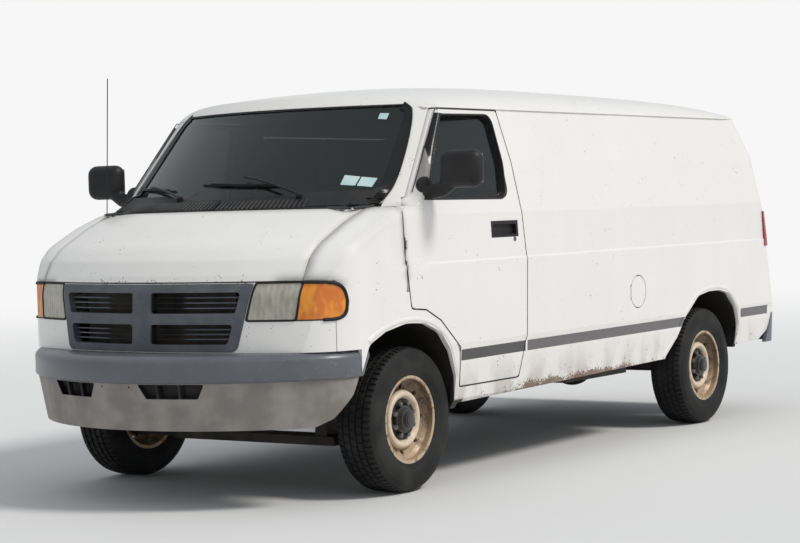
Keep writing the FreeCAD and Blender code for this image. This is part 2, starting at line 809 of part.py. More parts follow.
HOOD_EDGE_RADIUS = 2030.0
HOOD_EDGE_X = 345.0
GRILLE_VIEW = ((-528, 742, 40), (528, 742, 40), (601, 1060, 10), (-601, 1060, 10))
GRILLE_OPENINGS = (
    ((57, 922, 14), (57, 1020, 14), (545, 1020, 14), (520, 922, 14)),
    ((57, 776, 14), (57, 870, 14), (508, 870, 14), (484, 776, 30)),
)
GRILLE_SLAT_HEIGHTS = (946, 971, 996, 800, 823, 846)
HEADLAMP_VIEW = ((571, 888, 12), (802, 888, 12), (823.5, 1060, 12), (610, 1060, 12))
TURN_LAMP_VIEW = ((541, 889, 55), (541, 1060, 90), (1200, 1060, 0), (1200, 889, 0))


def upright_disc(radius, front_x, z0, z1):
    """Upright cylinder whose foremost point is at front_x."""
    return Part.makeCylinder(radius, z1 - z0, V(front_x - radius, 0, z0))


def build_hood():
    shape = NOSE_SHELL.common(box(0, 1300, -HOOD_HALF_WIDTH + 3, HOOD_HALF_WIDTH - 3, HOOD_BOTTOM_Z + 3, 1500))
    shape = shape.cut(upright_disc(HOOD_EDGE_RADIUS, HOOD_EDGE_X, 1000, 1500))
    x, z = HOOD_HINGE
    knuckles = []
    for side in (1, -1):
        ends = sorted((side * 728, side * 802))
        shape = shape.fuse(rod((x, ends[0], z), (x, ends[1], z), HINGE_PIN))
        for near, far in ((728, 752), (780, 802)):
            y0, y1 = sorted((side * near, side * far))
            shape = shape.fuse(box(x, x + 70, y0, y1, z - 7, z + 5))
        y0, y1 = sorted((side * 754, side * 778))
        knuckle = rod((x, y0, z), (x, y1, z), HINGE_KNUCKLE)
        knuckle = knuckle.fuse(box(x - 8, x + 8, y0, y1, 1352, z))
        knuckles.append(knuckle.cut(rod((x, y0, z), (x, y1, z), HINGE_PIN + RUNNING_GAP)))
    keep("hood", shape.removeSplitter())
    return knuckles


# Louvred panel between hood and windshield: radius about the hood edge's axis, z
COWL_VIEW = ((2021, 1352), (2021, 1398), (1881, 1482), (1860, 1482), (1860, 1352))
COWL_HALF = 812.0
COWL_NOTCH = 722.0


def cowl_cover():
    """Sloping panel turned about the hood edge's axis."""
    axis_x = HOOD_EDGE_X - HOOD_EDGE_RADIUS
    centre = V(axis_x, 0, 0)
    face = Part.Face(outline([(r, z, 0) for r, z in COWL_VIEW], lambda u, v: V(axis_x + u, 0, v)))
    face.rotate(centre, V(0, 0, 1), -30)
    cover = face.revolve(centre, V(0, 0, 1), 60)
    cover = cover.common(box(-300, 700, -COWL_HALF, COWL_HALF, 1300, 1500))
    for y0, y1 in ((-900, -COWL_NOTCH), (COWL_NOTCH, 900)):
        cover = cover.cut(box(HOOD_HINGE[0] - 15, HOOD_HINGE[0] + 100, y0, y1, 1370, 1500))
    return cover.cut(CABIN)


def build_cowl(knuckles):
    bar = CABIN_SHELL.common(box(-200, 700, -815, 815, 1330, 1405))
    keep("cowl_panel", fuse([bar, cowl_cover()] + knuckles))


def lamp_views(growth=0.0):
    """Headlamp and turn lamp outlines as prisms through the left half."""
    head = prism(grown(HEADLAMP_VIEW, growth) if growth else HEADLAMP_VIEW, "x", 400, 1200)
    turn = prism(grown(TURN_LAMP_VIEW, growth) if growth else TURN_LAMP_VIEW, "y", 700, 1200)
    beyond = prism(((796.5 - growth, 800), (833 - growth, 1100), (1200, 1100), (1200, 800)), "x", 400, 1200)
    return head, turn.common(beyond)


def build_nose():
    panel = NOSE_SHELL.common(box(NOSE_PANEL_BACK + 1, 1300, -1200, 1200, NOSE_PANEL_LOW, NOSE_PANEL_TOP))
    mouth = prism(GRILLE_VIEW, "x", 400, 1300)
    panel = panel.cut(mouth)
    head, turn = lamp_views()
    wide_head, wide_turn = lamp_views(GASKET)
    around = wide_head.fuse(wide_turn)
    panel = panel.cut(around).cut(mirrored(around))
    keep("nose_panel", panel)
    keep("headlamps", pair(NOSE_SHELL.common(head)))
    keep("turn_lamps", pair(NOSE_SHELL.common(turn)))
    band = nose_volume(-1).cut(nose_volume(16)).common(box(400, 1300, 0, 1200, 700, NOSE_PANEL_TOP))
    gasket = band.common(around).cut(head).cut(turn).cut(mouth)
    keep("lamp_gaskets", pair(gasket))
    body = nose_volume(-6).cut(nose_volume(42)).common(mouth)
    for view in GRILLE_OPENINGS:
        hole = prism(view, "x", 400, 1300)
        body = body.cut(hole).cut(mirrored(hole))
    slat_zone = nose_volume(20).cut(nose_volume(37)).common(mouth)
    slats = [slat_zone.common(box(400, 1300, -560, 560, z - 3, z + 3)) for z in GRILLE_SLAT_HEIGHTS]
    keep("grille", fuse([body] + slats))


# Bumpers

# Front bar as layers: z from, z to, how far the front stands back at each
BAR_LAYERS = (
    (608.0, 622.0, 12.0, 0.0),
    (622.0, 704.0, 0.0, 0.0),
    (704.0, 728.0, 0.0, 14.0),
    (728.0, 738.0, 14.0, 36.0),
)
BAR_END = ((380, 740), (462, 603), (1300, 603), (1300, 740))
VALANCE_LOW = 383.0
VALANCE_END = ((462, 610), (503, 526), (543, 482), (593, 421), (662, 383), (1300, 383), (1300, 610))
VALANCE_VENTS = (
    ((134, 604, 6), (232, 604, 6), (232, 535, 6), (172, 535, 6)),
    ((242, 604, 6), (346, 604, 6), (340, 535, 6), (242, 535, 6)),
    ((356, 604, 6), (464, 604, 6), (428, 535, 6), (350, 535, 6)),
)
PLATE_HOLES = (-84.0, 84.0)


def loft_plan(growth, shift_low, shift_high, z0, z1):
    """Layer of the bumper between two heights, its front shifted at each."""
    low = plan_wire(growth, shift_low, BUMPER_PLAN).translated(V(0, 0, z0))
    high = plan_wire(growth, shift_high, BUMPER_PLAN).translated(V(0, 0, z1))
    return Part.makeLoft([low, high], True, True)


def build_front_bumper():
    layers = [loft_plan(0, -low, -high, z0, z1) for z0, z1, low, high in BAR_LAYERS]
    bar = fuse(layers).cut(plan_prism(2, 0, 500, 900))
    bar = bar.common(prism(BAR_END, "y", -1200, 1200))
    keep("front_bumper", bar)
    z1 = BAR_LAYERS[0][0]
    skirt = loft_plan(-10, -44, -4, VALANCE_LOW, z1).cut(loft_plan(-30, -44, -4, VALANCE_LOW, z1))
    skirt = skirt.common(prism(VALANCE_END, "y", -1200, 1200))
    for view in VALANCE_VENTS:
        vent = prism(view, "x", 600, 1300)
        skirt = skirt.cut(vent).cut(mirrored(vent))
    for y in PLATE_HOLES:
        skirt = skirt.cut(rod((600, y, 590), (1300, y, 590), 5))
    keep("front_valance", skirt)


# Rear bumper: plan corner radius, and where its wrapped ends stop in side view
REAR_BUMPER_CORNER = 170.0
REAR_BUMPER_HEIGHTS = (442.0, 630.0)
REAR_BUMPER_ENDS = ((-4400, 640), (-4176, 640), (-4150, 560), (-4068, 436), (-4400, 436))


def rear_bumper_wire(z, x, inset):
    y = CORNER_Y + 4 - inset
    corner = REAR_BUMPER_CORNER - inset
    points = ((x + inset, -y, corner), (x + inset, y, corner), (-4000, y, 0), (-4000, -y, 0))
    return outline(points, lambda u, v: V(u, v, z))


def build_rear_bumper():
    low, high = REAR_BUMPER_HEIGHTS
    outer = Part.makeLoft([rear_bumper_wire(low, -4306, 0), rear_bumper_wire(high, REAR_END, 0)], True, True)
    inner = Part.makeLoft([rear_bumper_wire(low - 1, -4306, 24), rear_bumper_wire(high - 18, REAR_END, 24)], True, True)
    shape = outer.cut(inner).cut(CABIN)
    keep("rear_bumper", shape.common(prism(REAR_BUMPER_ENDS, "y", -1200, 1200)))


# Wheels

TYRE_PROFILE = (
    (203, -92),
    (228, -104),
    (276, -113),
    (330, -106),
    (351, -92),
    (357, -62),
    (357, 62),
    (351, 92),
    (330, 106),
    (276, 113),
    (228, 104),
    (203, 92),
)
RIM_PROFILE = (
    (216, 96),
    (216, 89),
    (203, 87),
    (203, -87),
    (216, -89),
    (216, -96),
    (197, -94),
    (196, -30),
    (188, -20),
    (188, 20),
    (178, 34),
    (178, 50),
    (196, 66),
    (197, 94),
)
DISC_PROFILE = (
    (35, 30),
    (102, 30),
    (119, 50),
    (131, 50),
    (147, 21),
    (180, 34.5),
    (180, 49),
    (151, 35),
    (137, 60),
    (130, 64),
    (120, 64),
    (113, 60),
    (98, 42),
    (35, 42),
)
WHEEL_BORE = 34.3
HAND_HOLES = 8


def turned(profile, y0, outward):
    """Ring about the wheel axis from radius and offset pairs, offset growing outward."""
    points = [V(r, y0 + outward * offset, 0) for r, offset in profile]
    wire = Part.makePolygon(points + [points[0]])
    return Part.Face(wire).revolve(V(0, 0, 0), V(0, 1, 0), 360)


def wheel_shapes(x, half_track, outward):
    """Tyre and steel wheel, standing at their axle."""
    y = half_track * outward
    tyre = turned(TYRE_PROFILE, y, outward)
    rim = turned(RIM_PROFILE, y, outward).fuse(turned(DISC_PROFILE, y, outward))
    for i in range(HAND_HOLES):
        angle = 2 * math.pi * i / HAND_HOLES
        centre = (163 * math.cos(angle), 163 * math.sin(angle))
        rim = rim.cut(rod((centre[0], y - 90, centre[1]), (centre[0], y + 90, centre[1]), 13))
    for i in range(WHEEL_NUTS):
        angle = 2 * math.pi * (i + 0.5) / WHEEL_NUTS
        centre = (NUT_CIRCLE * math.cos(angle), NUT_CIRCLE * math.sin(angle))
        rim = rim.fuse(rod((centre[0], y + outward * 36, centre[1]), (centre[0], y + outward * 62, centre[1]), 10))
    place = V(x, 0, TYRE_RADIUS)
    rim = rim.removeSplitter()
    return tyre.cut(rim).translated(place), rim.translated(place)


def build_wheels():
    for corner, x, track in (("front", 0.0, FRONT_TRACK_HALF), ("rear", -WHEELBASE, REAR_TRACK_HALF)):
        for side, outward in (("left", 1), ("right", -1)):
            tyre, rim = wheel_shapes(x, track, outward)
            keep("tyre_" + corner + "_" + side, tyre)
            keep("wheel_" + corner + "_" + side, rim)


# Steering knuckles, axles and springs


def build_knuckles():
    z = TYRE_RADIUS
    pin = rod((0, KINGPIN_Y, 206), (0, KINGPIN_Y, 512), KINGPIN_RADIUS)
    upright = box(-36, 36, KINGPIN_Y - 24, KINGPIN_Y + 22, 262, 452)
    spindle = rod((0, KINGPIN_Y, z), (0, 928, z), SPINDLE_RADIUS)
    cap = rod((0, 900, z), (0, 940, z), 26)
    brake = rod((0, KINGPIN_Y + 22, z), (0, KINGPIN_Y + 34, z), 98)
    arm = box(-150, -30, KINGPIN_Y - 24, KINGPIN_Y - 4, 300, 330)
    shape = fuse([pin, upright, spindle, cap, brake, arm])
    keep("knuckle_left", shape)
    keep("knuckle_right", mirrored(shape))


def build_suspension():
    beam = box(-70, 70, -520, 520, 216, 262)
    drop = pair(box(-60, 60, RAIL_INNER, RAIL_OUTER, 261, FRAME_LOW))
    parts = [beam] + drop.Solids
    for side in (1, -1):
        y0, y1 = sorted((side * 500, side * (KINGPIN_Y + 18)))
        low = box(-32, 32, y0, y1, 220, 250)
        y2, y3 = sorted((side * RAIL_OUTER, side * (KINGPIN_Y + 18)))
        high = box(-30, 30, y2, y3, 466, 492)
        spring = rod((0, side * 570, 249), (0, side * 570, 467), 46)
        parts += [low, high, spring]
    shape = fuse(parts)
    for side in (1, -1):
        bore = rod((0, side * KINGPIN_Y, 180), (0, side * KINGPIN_Y, 540), KINGPIN_RADIUS + RUNNING_GAP)
        shape = shape.cut(bore)
    keep("front_suspension", shape)
    x = -WHEELBASE
    z = TYRE_RADIUS
    tube = rod((x, -770, z), (x, 770, z), 42)
    ends = rod((x, -934, z), (x, 934, z), SPINDLE_RADIUS)
    drums = [rod((x, side * 764, z), (x, side * 838, z), 140) for side in (1, -1)]
    case = Part.makeSphere(150, V(x - 20, 0, z))
    keep("rear_axle", fuse([tube, ends, case] + drums))
    leaf_view = ((-2560, 424), (-2700, 424), (x, 399), (-3780, 424), (-3920, 424), (-3920, 440), (-2560, 440))
    leaf = prism(leaf_view, "y", RAIL_INNER + 5, RAIL_OUTER - 5)
    seat = box(x - 60, x + 60, RAIL_INNER + 5, RAIL_OUTER - 5, 380, 400)
    leaf = leaf.fuse(seat).cut(tube)
    keep("leaf_springs", pair(leaf))


def build_frame():
    rails = []
    for side in (1, -1):
        y0, y1 = sorted((side * RAIL_INNER, side * RAIL_OUTER))
        rails.append(box(-4306, 900, y0, y1, FRAME_LOW, FRAME_HIGH))
    for x in (640, 0, -1080, -1900, -2700, -4000):
        rails.append(box(x - 40, x + 40, -RAIL_INNER - 1, RAIL_INNER + 1, 480, FRAME_HIGH if x < -900 else 500))
    horn = pair(box(780, 900, RAIL_INNER, RAIL_OUTER, FRAME_LOW, 700))
    shape = fuse(rails + horn.Solids)
    shape = shape.common(plan_prism(2, 0, 300, 900))
    keep("frame_rails", shape.cut(PARTS["front_valance"]).cut(PARTS["rear_bumper"]))


# Floor, firewall and wheelhouses


def front_liner():
    """Left front wheelhouse: arched top and inner wall, open where the axle passes."""
    inner_y, outer_y = WHEELHOUSE_INNER, 955
    sweep = rod((0, 300, TYRE_RADIUS), (0, 1200, TYRE_RADIUS), STEER_SWEEP)
    sweep_wall = rod((0, 300, TYRE_RADIUS), (0, 1200, TYRE_RADIUS), STEER_SWEEP + 12)
    zone = box(-420, 484, inner_y - 14, outer_y, 400, 900)
    room = box(-420, 600, inner_y, 1000, 300, 900)
    solid = side_prism(grown(FRONT_ARCH, 14)).fuse(sweep_wall).common(zone)
    hollow = side_prism(FRONT_ARCH).fuse(sweep).common(room)
    return solid, solid.cut(hollow).cut(box(-150, 150, 500, 1000, 300, 620))


def rear_liner():
    """Left rear wheel box, rising through the load floor."""
    zone = box(-3760, -2620, REAR_BOX_INNER - 14, 960, 440, 900)
    solid = side_prism(grown(REAR_ARCH, 30)).common(zone)
    hollow = side_prism(REAR_ARCH).common(box(-3760, -2620, REAR_BOX_INNER, 1000, 300, 900))
    return solid, solid.cut(hollow)


def build_floor():
    cab = box(-1120, -402, -CAB_FLOOR_HALF, CAB_FLOOR_HALF, CAB_FLOOR[0], CAB_FLOOR[1])
    front = box(-403, 145, -WHEELHOUSE_INNER, WHEELHOUSE_INNER, CAB_FLOOR[0], CAB_FLOOR[1])
    load = box(-4185, -1119, -LOAD_FLOOR_HALF, LOAD_FLOOR_HALF, LOAD_FLOOR[0], LOAD_FLOOR[1])
    door_side = box(CARGO_DOOR_REAR - 20, CARGO_DOOR_FRONT + 20, -1200, -CAB_FLOOR_HALF, 300, 900)
    well = box(-860, 200, -ENGINE_COVER_HALF + 12, ENGINE_COVER_HALF - 12, 500, 640)
    floor = cab.fuse(front).fuse(load.cut(door_side)).cut(well)
    wall = box(120, 145, -868, 868, CAB_FLOOR[0], 1352)
    wall = wall.cut(box(100, 160, -ENGINE_COVER_HALF + 12, ENGINE_COVER_HALF - 12, 400, 985))
    cover = box(-872, 121, -ENGINE_COVER_HALF, ENGINE_COVER_HALF, CAB_FLOOR[1] - 1, ENGINE_COVER_TOP)
    cover = cover.cut(box(-860, 160, -ENGINE_COVER_HALF + 12, ENGINE_COVER_HALF - 12, 500, ENGINE_COVER_TOP - 12))
    pieces = [floor, wall, cover]
    front_solid, front_shell = front_liner()
    rear_solid, rear_shell = rear_liner()
    for flip in (lambda shape: shape, mirrored):
        pieces[0] = pieces[0].cut(flip(front_solid)).cut(flip(rear_solid))
        pieces[1] = pieces[1].cut(flip(front_solid))
        pieces += [flip(front_shell), flip(rear_shell)]
    shape = fuse(pieces)
    for name in ("body_side_left", "body_side_right", "fenders", "cowl_panel", "front_valance"):
        shape = shape.cut(PARTS[name])
    keep("floor_pan", shape)


# Engine, gearbox, radiator, tank and exhaust


def build_engine():
    keep("engine", box(-500, 420, -245, 245, 500, 925))
    gearbox = box(-860, -500, -150, 150, 400, 700).fuse(box(-1250, -859, -85, 85, 345, 475))
    shaft = rod((-1240, 0, 400), (-3110, 0, 360), 34)
    shaft = shaft.cut(PARTS["rear_axle"])
    keep("drivetrain", gearbox.fuse(shaft))
    core = box(690, 740, -470, 470, 560, 1020)
    feet = pair(box(690, 740, RAIL_INNER, RAIL_OUTER, FRAME_HIGH, 561))
    keep("radiator", fuse([core] + feet.Solids))
    tank = box(-2520, -1780, 490, 800, 372, LOAD_FLOOR[0])
    keep("fuel_tank", tank.makeFillet(30, tank.Edges[:4]))
    pipe = rod((-700, -290, 420), (-1500, -290, 420), 26)
    box_part = rod((-1480, -290, 420), (-2100, -290, 420), 58)
    out = rod((-2090, -290, 420), (-2560, -290, 420), 26)
    hangers = [box(x - 12, x + 12, -302, -278, 440, 480) for x in (-1080, -1900)]
    bridge = box(-760, -730, -290, -150, 410, 430)
    keep("exhaust", fuse([pipe, box_part, out, bridge] + hangers))


# Interior


def seat_shape(y):
    base = box(-1010, -610, y - 190, y + 190, CAB_FLOOR[1], 830)
    cushion = prism(((-1060, 790, 20), (-560, 810, 50), (-560, 930, 60), (-1040, 900, 20)), "y", y - 245, y + 245)
    back = prism(((-1040, 880, 30), (-960, 930, 30), (-1060, 1480, 40), (-1160, 1470, 40)), "y", y - 235, y + 235)
    head = prism(((-1150, 1470, 20), (-1070, 1470, 20), (-1090, 1640, 30), (-1160, 1630, 30)), "y", y - 130, y + 130)
    return fuse([base, cushion, back, head])


DASH_HALF = 780.0
STEERING_CENTRE = (-352.0, 430.0, 1290.0)
STEERING_AXIS = (0.80, 0.0, -0.60)
STEERING_RING = 188.0


def build_interior():
    keep("seats", pair(seat_shape(560)))
    view = ((119, 960, 0), (119, 1336, 0), (40, 1344, 30), (-130, 1322, 60), (-196, 1240, 40), (-150, 1060, 60), (-60, 960, 30))
    dash = prism(view, "y", -DASH_HALF, DASH_HALF)
    dash = dash.cut(box(-300, 200, -ENGINE_COVER_HALF, ENGINE_COVER_HALF, 900, ENGINE_COVER_TOP))
    way = V(*STEERING_AXIS)
    centre = V(*STEERING_CENTRE)
    column = Part.makeCylinder(34, 330, centre + way * 62, way)
    bore = Part.makeCylinder(10 + RUNNING_GAP, 60, centre + way * 61, way)
    dash = dash.fuse(column.cut(box(119.5, 600, 0, 1000, 300, 2000)))
    for name in ("cowl_panel", "fenders"):
        dash = dash.cut(PARTS[name])
    keep("dashboard", dash.cut(bore))
    ring = Part.makeTorus(STEERING_RING, 15, centre, way)
    hub = Part.makeCylinder(48, 46, centre - way * 4, way)
    pin = Part.makeCylinder(10, 70, centre + way * 40, way)
    spoke = box(-STEERING_RING, STEERING_RING, -14, 14, -6, 10)
    drop = box(-14, 14, -STEERING_RING, 0, -6, 10)
    tilt = FreeCAD.Rotation(V(0, 0, 1), way)
    placement = FreeCAD.Placement(centre, tilt)
    spokes = spoke.fuse(drop)
    spokes.Placement = placement
    keep("steering_wheel", fuse([ring, hub, pin, spokes]))


# Mirrors, handles, wipers and antenna



def build_fittings():
    head = prism(((1044, 1478, 45), (1282, 1478, 55), (1278, 1668, 60), (1050, 1662, 60)), "x", -232, -124)
    arm = prism(((905, 1424, 10), (1075, 1500, 20), (1075, 1556, 20), (905, 1500, 20)), "x", -190, -140)
    foot = box(-215, -110, 850, 930, 1440, 1545)
    foot = foot.cut(PARTS["door_front_left"]).cut(PARTS["glass_front_left"]).cut(cabin_volume(0, 0))
    shape = fuse([head, arm, foot])
    keep("mirror_left", shape.cut(CABIN))
    keep("mirror_right", mirrored(PARTS["mirror_left"]))
    grip = CABIN_SHELL.common(box(-978, -710, 900, 1100, 1222, 1308))
    cup = grip.common(cabin_volume(2, 2)).cut(cabin_volume(40, 40))
    recess = cabin_volume(0, 0).cut(cabin_volume(22, 22)).common(prism(((-960, 1236, 10), (-960, 1290, 10), (-728, 1290, 10), (-728, 1236, 10)), "y", 900, 1200))
    keep("handle_left", cup.cut(recess))
    keep("handle_right", mirrored(PARTS["handle_left"]))
    for side in ("left", "right"):
        door = PARTS["door_front_" + side].cut(grip if side == "left" else mirrored(grip))
        keep("door_front_" + side, door)
    mast = rod((150, -868, 1380), (110, -868, 2120), 2.6)
    base = rod((150, -868, 1380), (149, -868, 1402), 14)
    keep("antenna", mast.fuse(base).cut(NOSE).cut(CABIN))


def write_parts():
    os.makedirs("parts", exist_ok=True)
    for name, shape in PARTS.items():
        moved = shape.translated(V(ORIGIN_SHIFT, 0, 0))
        moved.exportStep("parts/" + name + ".step")
        print(name, shape.isValid(), len(shape.Solids), round(shape.Volume / 1e6, 2))


build_fronts()
build_sides()
build_roof()
build_windshield()
build_cowl(build_hood())
build_nose()
build_front_bumper()
build_rear_bumper()
build_wheels()
build_knuckles()
build_suspension()
build_frame()
build_floor()
build_engine()
build_interior()
build_fittings()
write_parts()
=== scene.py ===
# %% [markdown]
# # A cargo van, dressed around its construction model
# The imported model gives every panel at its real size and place.
# This lesson adds what a maker would add next: finishes, rubber, lenses, tread and small fittings.
# Everything is in metres, with X to the front, Y to the left side and Z up.

# %% Load the construction model
import json
import math

import bpy
from mathutils import Matrix, Vector


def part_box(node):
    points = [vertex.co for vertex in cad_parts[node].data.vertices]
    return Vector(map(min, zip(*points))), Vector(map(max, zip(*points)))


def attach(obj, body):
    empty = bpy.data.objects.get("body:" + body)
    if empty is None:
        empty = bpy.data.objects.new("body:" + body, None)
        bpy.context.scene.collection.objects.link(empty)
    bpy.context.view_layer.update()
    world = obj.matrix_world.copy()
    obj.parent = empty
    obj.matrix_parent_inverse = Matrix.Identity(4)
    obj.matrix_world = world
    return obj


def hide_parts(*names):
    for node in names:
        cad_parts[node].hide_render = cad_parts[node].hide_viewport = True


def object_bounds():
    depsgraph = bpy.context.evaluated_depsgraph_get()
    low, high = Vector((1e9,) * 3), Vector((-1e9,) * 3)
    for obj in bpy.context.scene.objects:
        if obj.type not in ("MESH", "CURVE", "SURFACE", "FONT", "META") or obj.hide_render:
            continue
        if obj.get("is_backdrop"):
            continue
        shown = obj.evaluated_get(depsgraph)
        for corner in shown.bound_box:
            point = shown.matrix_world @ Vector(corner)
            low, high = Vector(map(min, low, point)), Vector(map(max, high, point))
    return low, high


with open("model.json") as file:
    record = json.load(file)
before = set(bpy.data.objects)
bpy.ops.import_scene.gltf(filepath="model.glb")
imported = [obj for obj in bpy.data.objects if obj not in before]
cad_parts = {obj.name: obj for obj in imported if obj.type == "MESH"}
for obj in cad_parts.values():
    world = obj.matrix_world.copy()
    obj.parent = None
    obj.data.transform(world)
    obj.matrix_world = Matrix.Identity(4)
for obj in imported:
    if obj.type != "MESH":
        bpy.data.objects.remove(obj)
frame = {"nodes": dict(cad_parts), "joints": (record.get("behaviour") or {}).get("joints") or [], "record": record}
cad_low, cad_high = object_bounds()
NODES = frame["nodes"]
JOINTS = {joint["name"]: joint for joint in frame["joints"]}
print("nodes:", len(NODES), "joints:", len(JOINTS))

# %% [markdown]
# The two axles are the natural places to measure from, as a body shop would.
# Their positions are read from the joints, so they always agree with the construction model.

# %% Find the axles
FRONT_AXLE_X, KINGPIN_Y, AXLE_Z = JOINTS["steer_left"]["pos_m"]
REAR_AXLE_X = JOINTS["wheel_rear_left_spin"]["pos_m"][0]


def at(x, y, z):
    """A place whose x is measured from the front axle."""
    return Vector((x + FRONT_AXLE_X, y, z))


print("wheelbase:", round(FRONT_AXLE_X - REAR_AXLE_X, 3))

# %% [markdown]
# The camera is settled before anything is dressed, because every later choice is judged through it.
# A long lens from the front left corner, at a standing person's height, keeps the sides nearly parallel.

# %% Place the camera
CAMERA_PLACE = at(8.14689, 6.46989, 1.40946)
CAMERA_AIM = Vector((-0.825141, -0.563943, -0.033319))
CAMERA_ROLL = math.radians(-1.671)
LENS_MM = 91.045

camera_data = bpy.data.cameras.new("photo_camera")
camera_data.lens = LENS_MM
camera = bpy.data.objects.new("photo_camera", camera_data)
bpy.context.scene.collection.objects.link(camera)
camera.location = CAMERA_PLACE
camera.rotation_mode = "QUATERNION"
level = CAMERA_AIM.to_track_quat("-Z", "Y")
camera.rotation_quaternion = level @ Matrix.Rotation(CAMERA_ROLL, 4, "Z").to_quaternion()
bpy.context.scene.camera = camera
bpy.context.scene.view_settings.view_transform = "Standard"
print("camera height:", round(CAMERA_PLACE.z, 2))

# %% [markdown]
# Shader graphs are easier to read as arithmetic than as lists of links.
# The class below wraps one socket. Adding, multiplying or comparing two of them adds the Math nodes.

# %% Write shader maths as expressions


class Socket:
    """One output of a shader node, on which arithmetic works."""

    def __init__(self, finish, output):
        self.finish = finish
        self.output = output

    def math(self, operation, *operands):
        return self.finish.add("ShaderNodeMath", {"operation": operation}, operands)

    def __add__(self, other):
        return self.math("ADD", self, other)

    def __sub__(self, other):
        return self.math("SUBTRACT", self, other)

    def __rsub__(self, other):
        return self.math("SUBTRACT", other, self)

    def __mul__(self, other):
        return self.math("MULTIPLY", self, other)

    def __truediv__(self, other):
        return self.math("DIVIDE", self, other)

    def __pow__(self, other):
        return self.math("POWER", self, other)

    def __abs__(self):
        return self.math("ABSOLUTE", self)

    def __gt__(self, other):
        return self.math("GREATER_THAN", self, other)

    def __lt__(self, other):
        return self.math("LESS_THAN", self, other)

    def sine(self):
        return self.math("SINE", self)

    def limited(self):
        return self.math("MINIMUM", self.math("MAXIMUM", self, 0.0), 1.0)

    __radd__ = __add__
    __rmul__ = __mul__


class Finish:
    """A material under construction, with the wording that this van's finishes need."""

    def __init__(self, name, **constants):
        self.material = bpy.data.materials.new(name)
        self.material.use_nodes = True
        self.tree = self.material.node_tree
        self.shader = self.tree.nodes["Principled BSDF"]
        for key, value in constants.items():
            self.shader.inputs[key.replace("_", " ")].default_value = value

    def feed(self, target, value):
        if isinstance(value, Socket):
            self.tree.links.new(value.output, target)
        else:
            target.default_value = value

    def add(self, kind, settings=(), inputs=(), output=0):
        node = self.tree.nodes.new(kind)
        for key, value in dict(settings).items():
            setattr(node, key, value)
        pairs = inputs.items() if isinstance(inputs, dict) else enumerate(inputs)
        for key, value in pairs:
            self.feed(node.inputs[key], value)
        return Socket(self, node.outputs[output])

    def set(self, **inputs):
        for key, value in inputs.items():
            self.feed(self.shader.inputs[key.replace("_", " ")], value)

    def place(self):
        """The surface's place as three numbers, x measured from the front axle."""
        spot = self.add("ShaderNodeTexCoord", output="Object")
        parts = [self.add("ShaderNodeSeparateXYZ", (), {"Vector": spot}, k) for k in range(3)]
        return spot, parts[0] - FRONT_AXLE_X, parts[1], parts[2]

    def noise(self, spot, scale, detail=3.0, stretch=(1.0, 1.0, 1.0)):
        spread = self.add("ShaderNodeMapping", (), {"Vector": spot, "Scale": stretch})
        return self.add("ShaderNodeTexNoise", (), {"Vector": spread, "Scale": scale, "Detail": detail})

    def step(self, value, low, high):
        """0 below low, 1 above high, smooth between; low may be the larger, which turns it round."""
        settings = {"interpolation_type": "SMOOTHSTEP"}
        flipped = low > high
        inputs = {"Value": value, "From Min": min(low, high), "From Max": max(low, high)}
        made = self.add("ShaderNodeMapRange", settings, inputs)
        return 1 - made if flipped else made

    def band(self, value, low, high, soft=0.002):
        """1 between low and high."""
        return self.step(value, low - soft, low + soft) * self.step(value, high + soft, high - soft)

    def mix(self, share, first, second):
        settings = {"data_type": "RGBA"}
        return self.add("ShaderNodeMix", settings, {0: share, 6: first, 7: second}, 2)

    def bump(self, height, distance, strength=1.0, normal=None):
        inputs = {"Height": height, "Distance": distance, "Strength": strength}
        if normal is not None:
            inputs["Normal"] = normal
        self.set(Normal=self.add("ShaderNodeBump", (), inputs))

    def eased(self, radius):
        """A normal that rounds every edge by that radius, without changing the mesh."""
        return self.add("ShaderNodeBevel", {"samples": 6}, {"Radius": radius})

    def blend_normals(self, share, first, second):
        settings = {"data_type": "VECTOR"}
        return self.add("ShaderNodeMix", settings, {0: share, 4: first, 5: second}, 1)


def colour(red, green, blue):
    return (red, green, blue, 1.0)


print("shader words ready")

# %% [markdown]
# The body paint is one finish for all outer panels, so that its dust and wear run on across the gaps.
# The stripe, the grime along the sills, the rust specks and the painted shade on the arch edges, hood hinge arms and
# window reveals are masks on the place of the surface.

# %% Body paint
PAINT_CLEAN = colour(0.80, 0.79, 0.765)
PAINT_DULL = colour(0.70, 0.685, 0.65)
PAINT_GRIME = colour(0.36, 0.31, 0.245)
PAINT_RUST = colour(0.13, 0.062, 0.030)
PAINTED_SHADE = colour(0.014, 0.013, 0.013)
STRIPE_COLOUR = colour(0.105, 0.100, 0.105)
STRIPE_DARK = colour(0.045, 0.042, 0.044)
HOOD_AXIS_X, HOOD_REACH = -1.685, 2.026
STRIPE_LOW, STRIPE_HIGH = 0.612, 0.668
STRIPE_RISE = 0.0035
STRIPE_PIECES = ((-1.032, -0.40), (-2.905, -1.050), (-4.115, -3.705))
SIDE_Y = 0.93


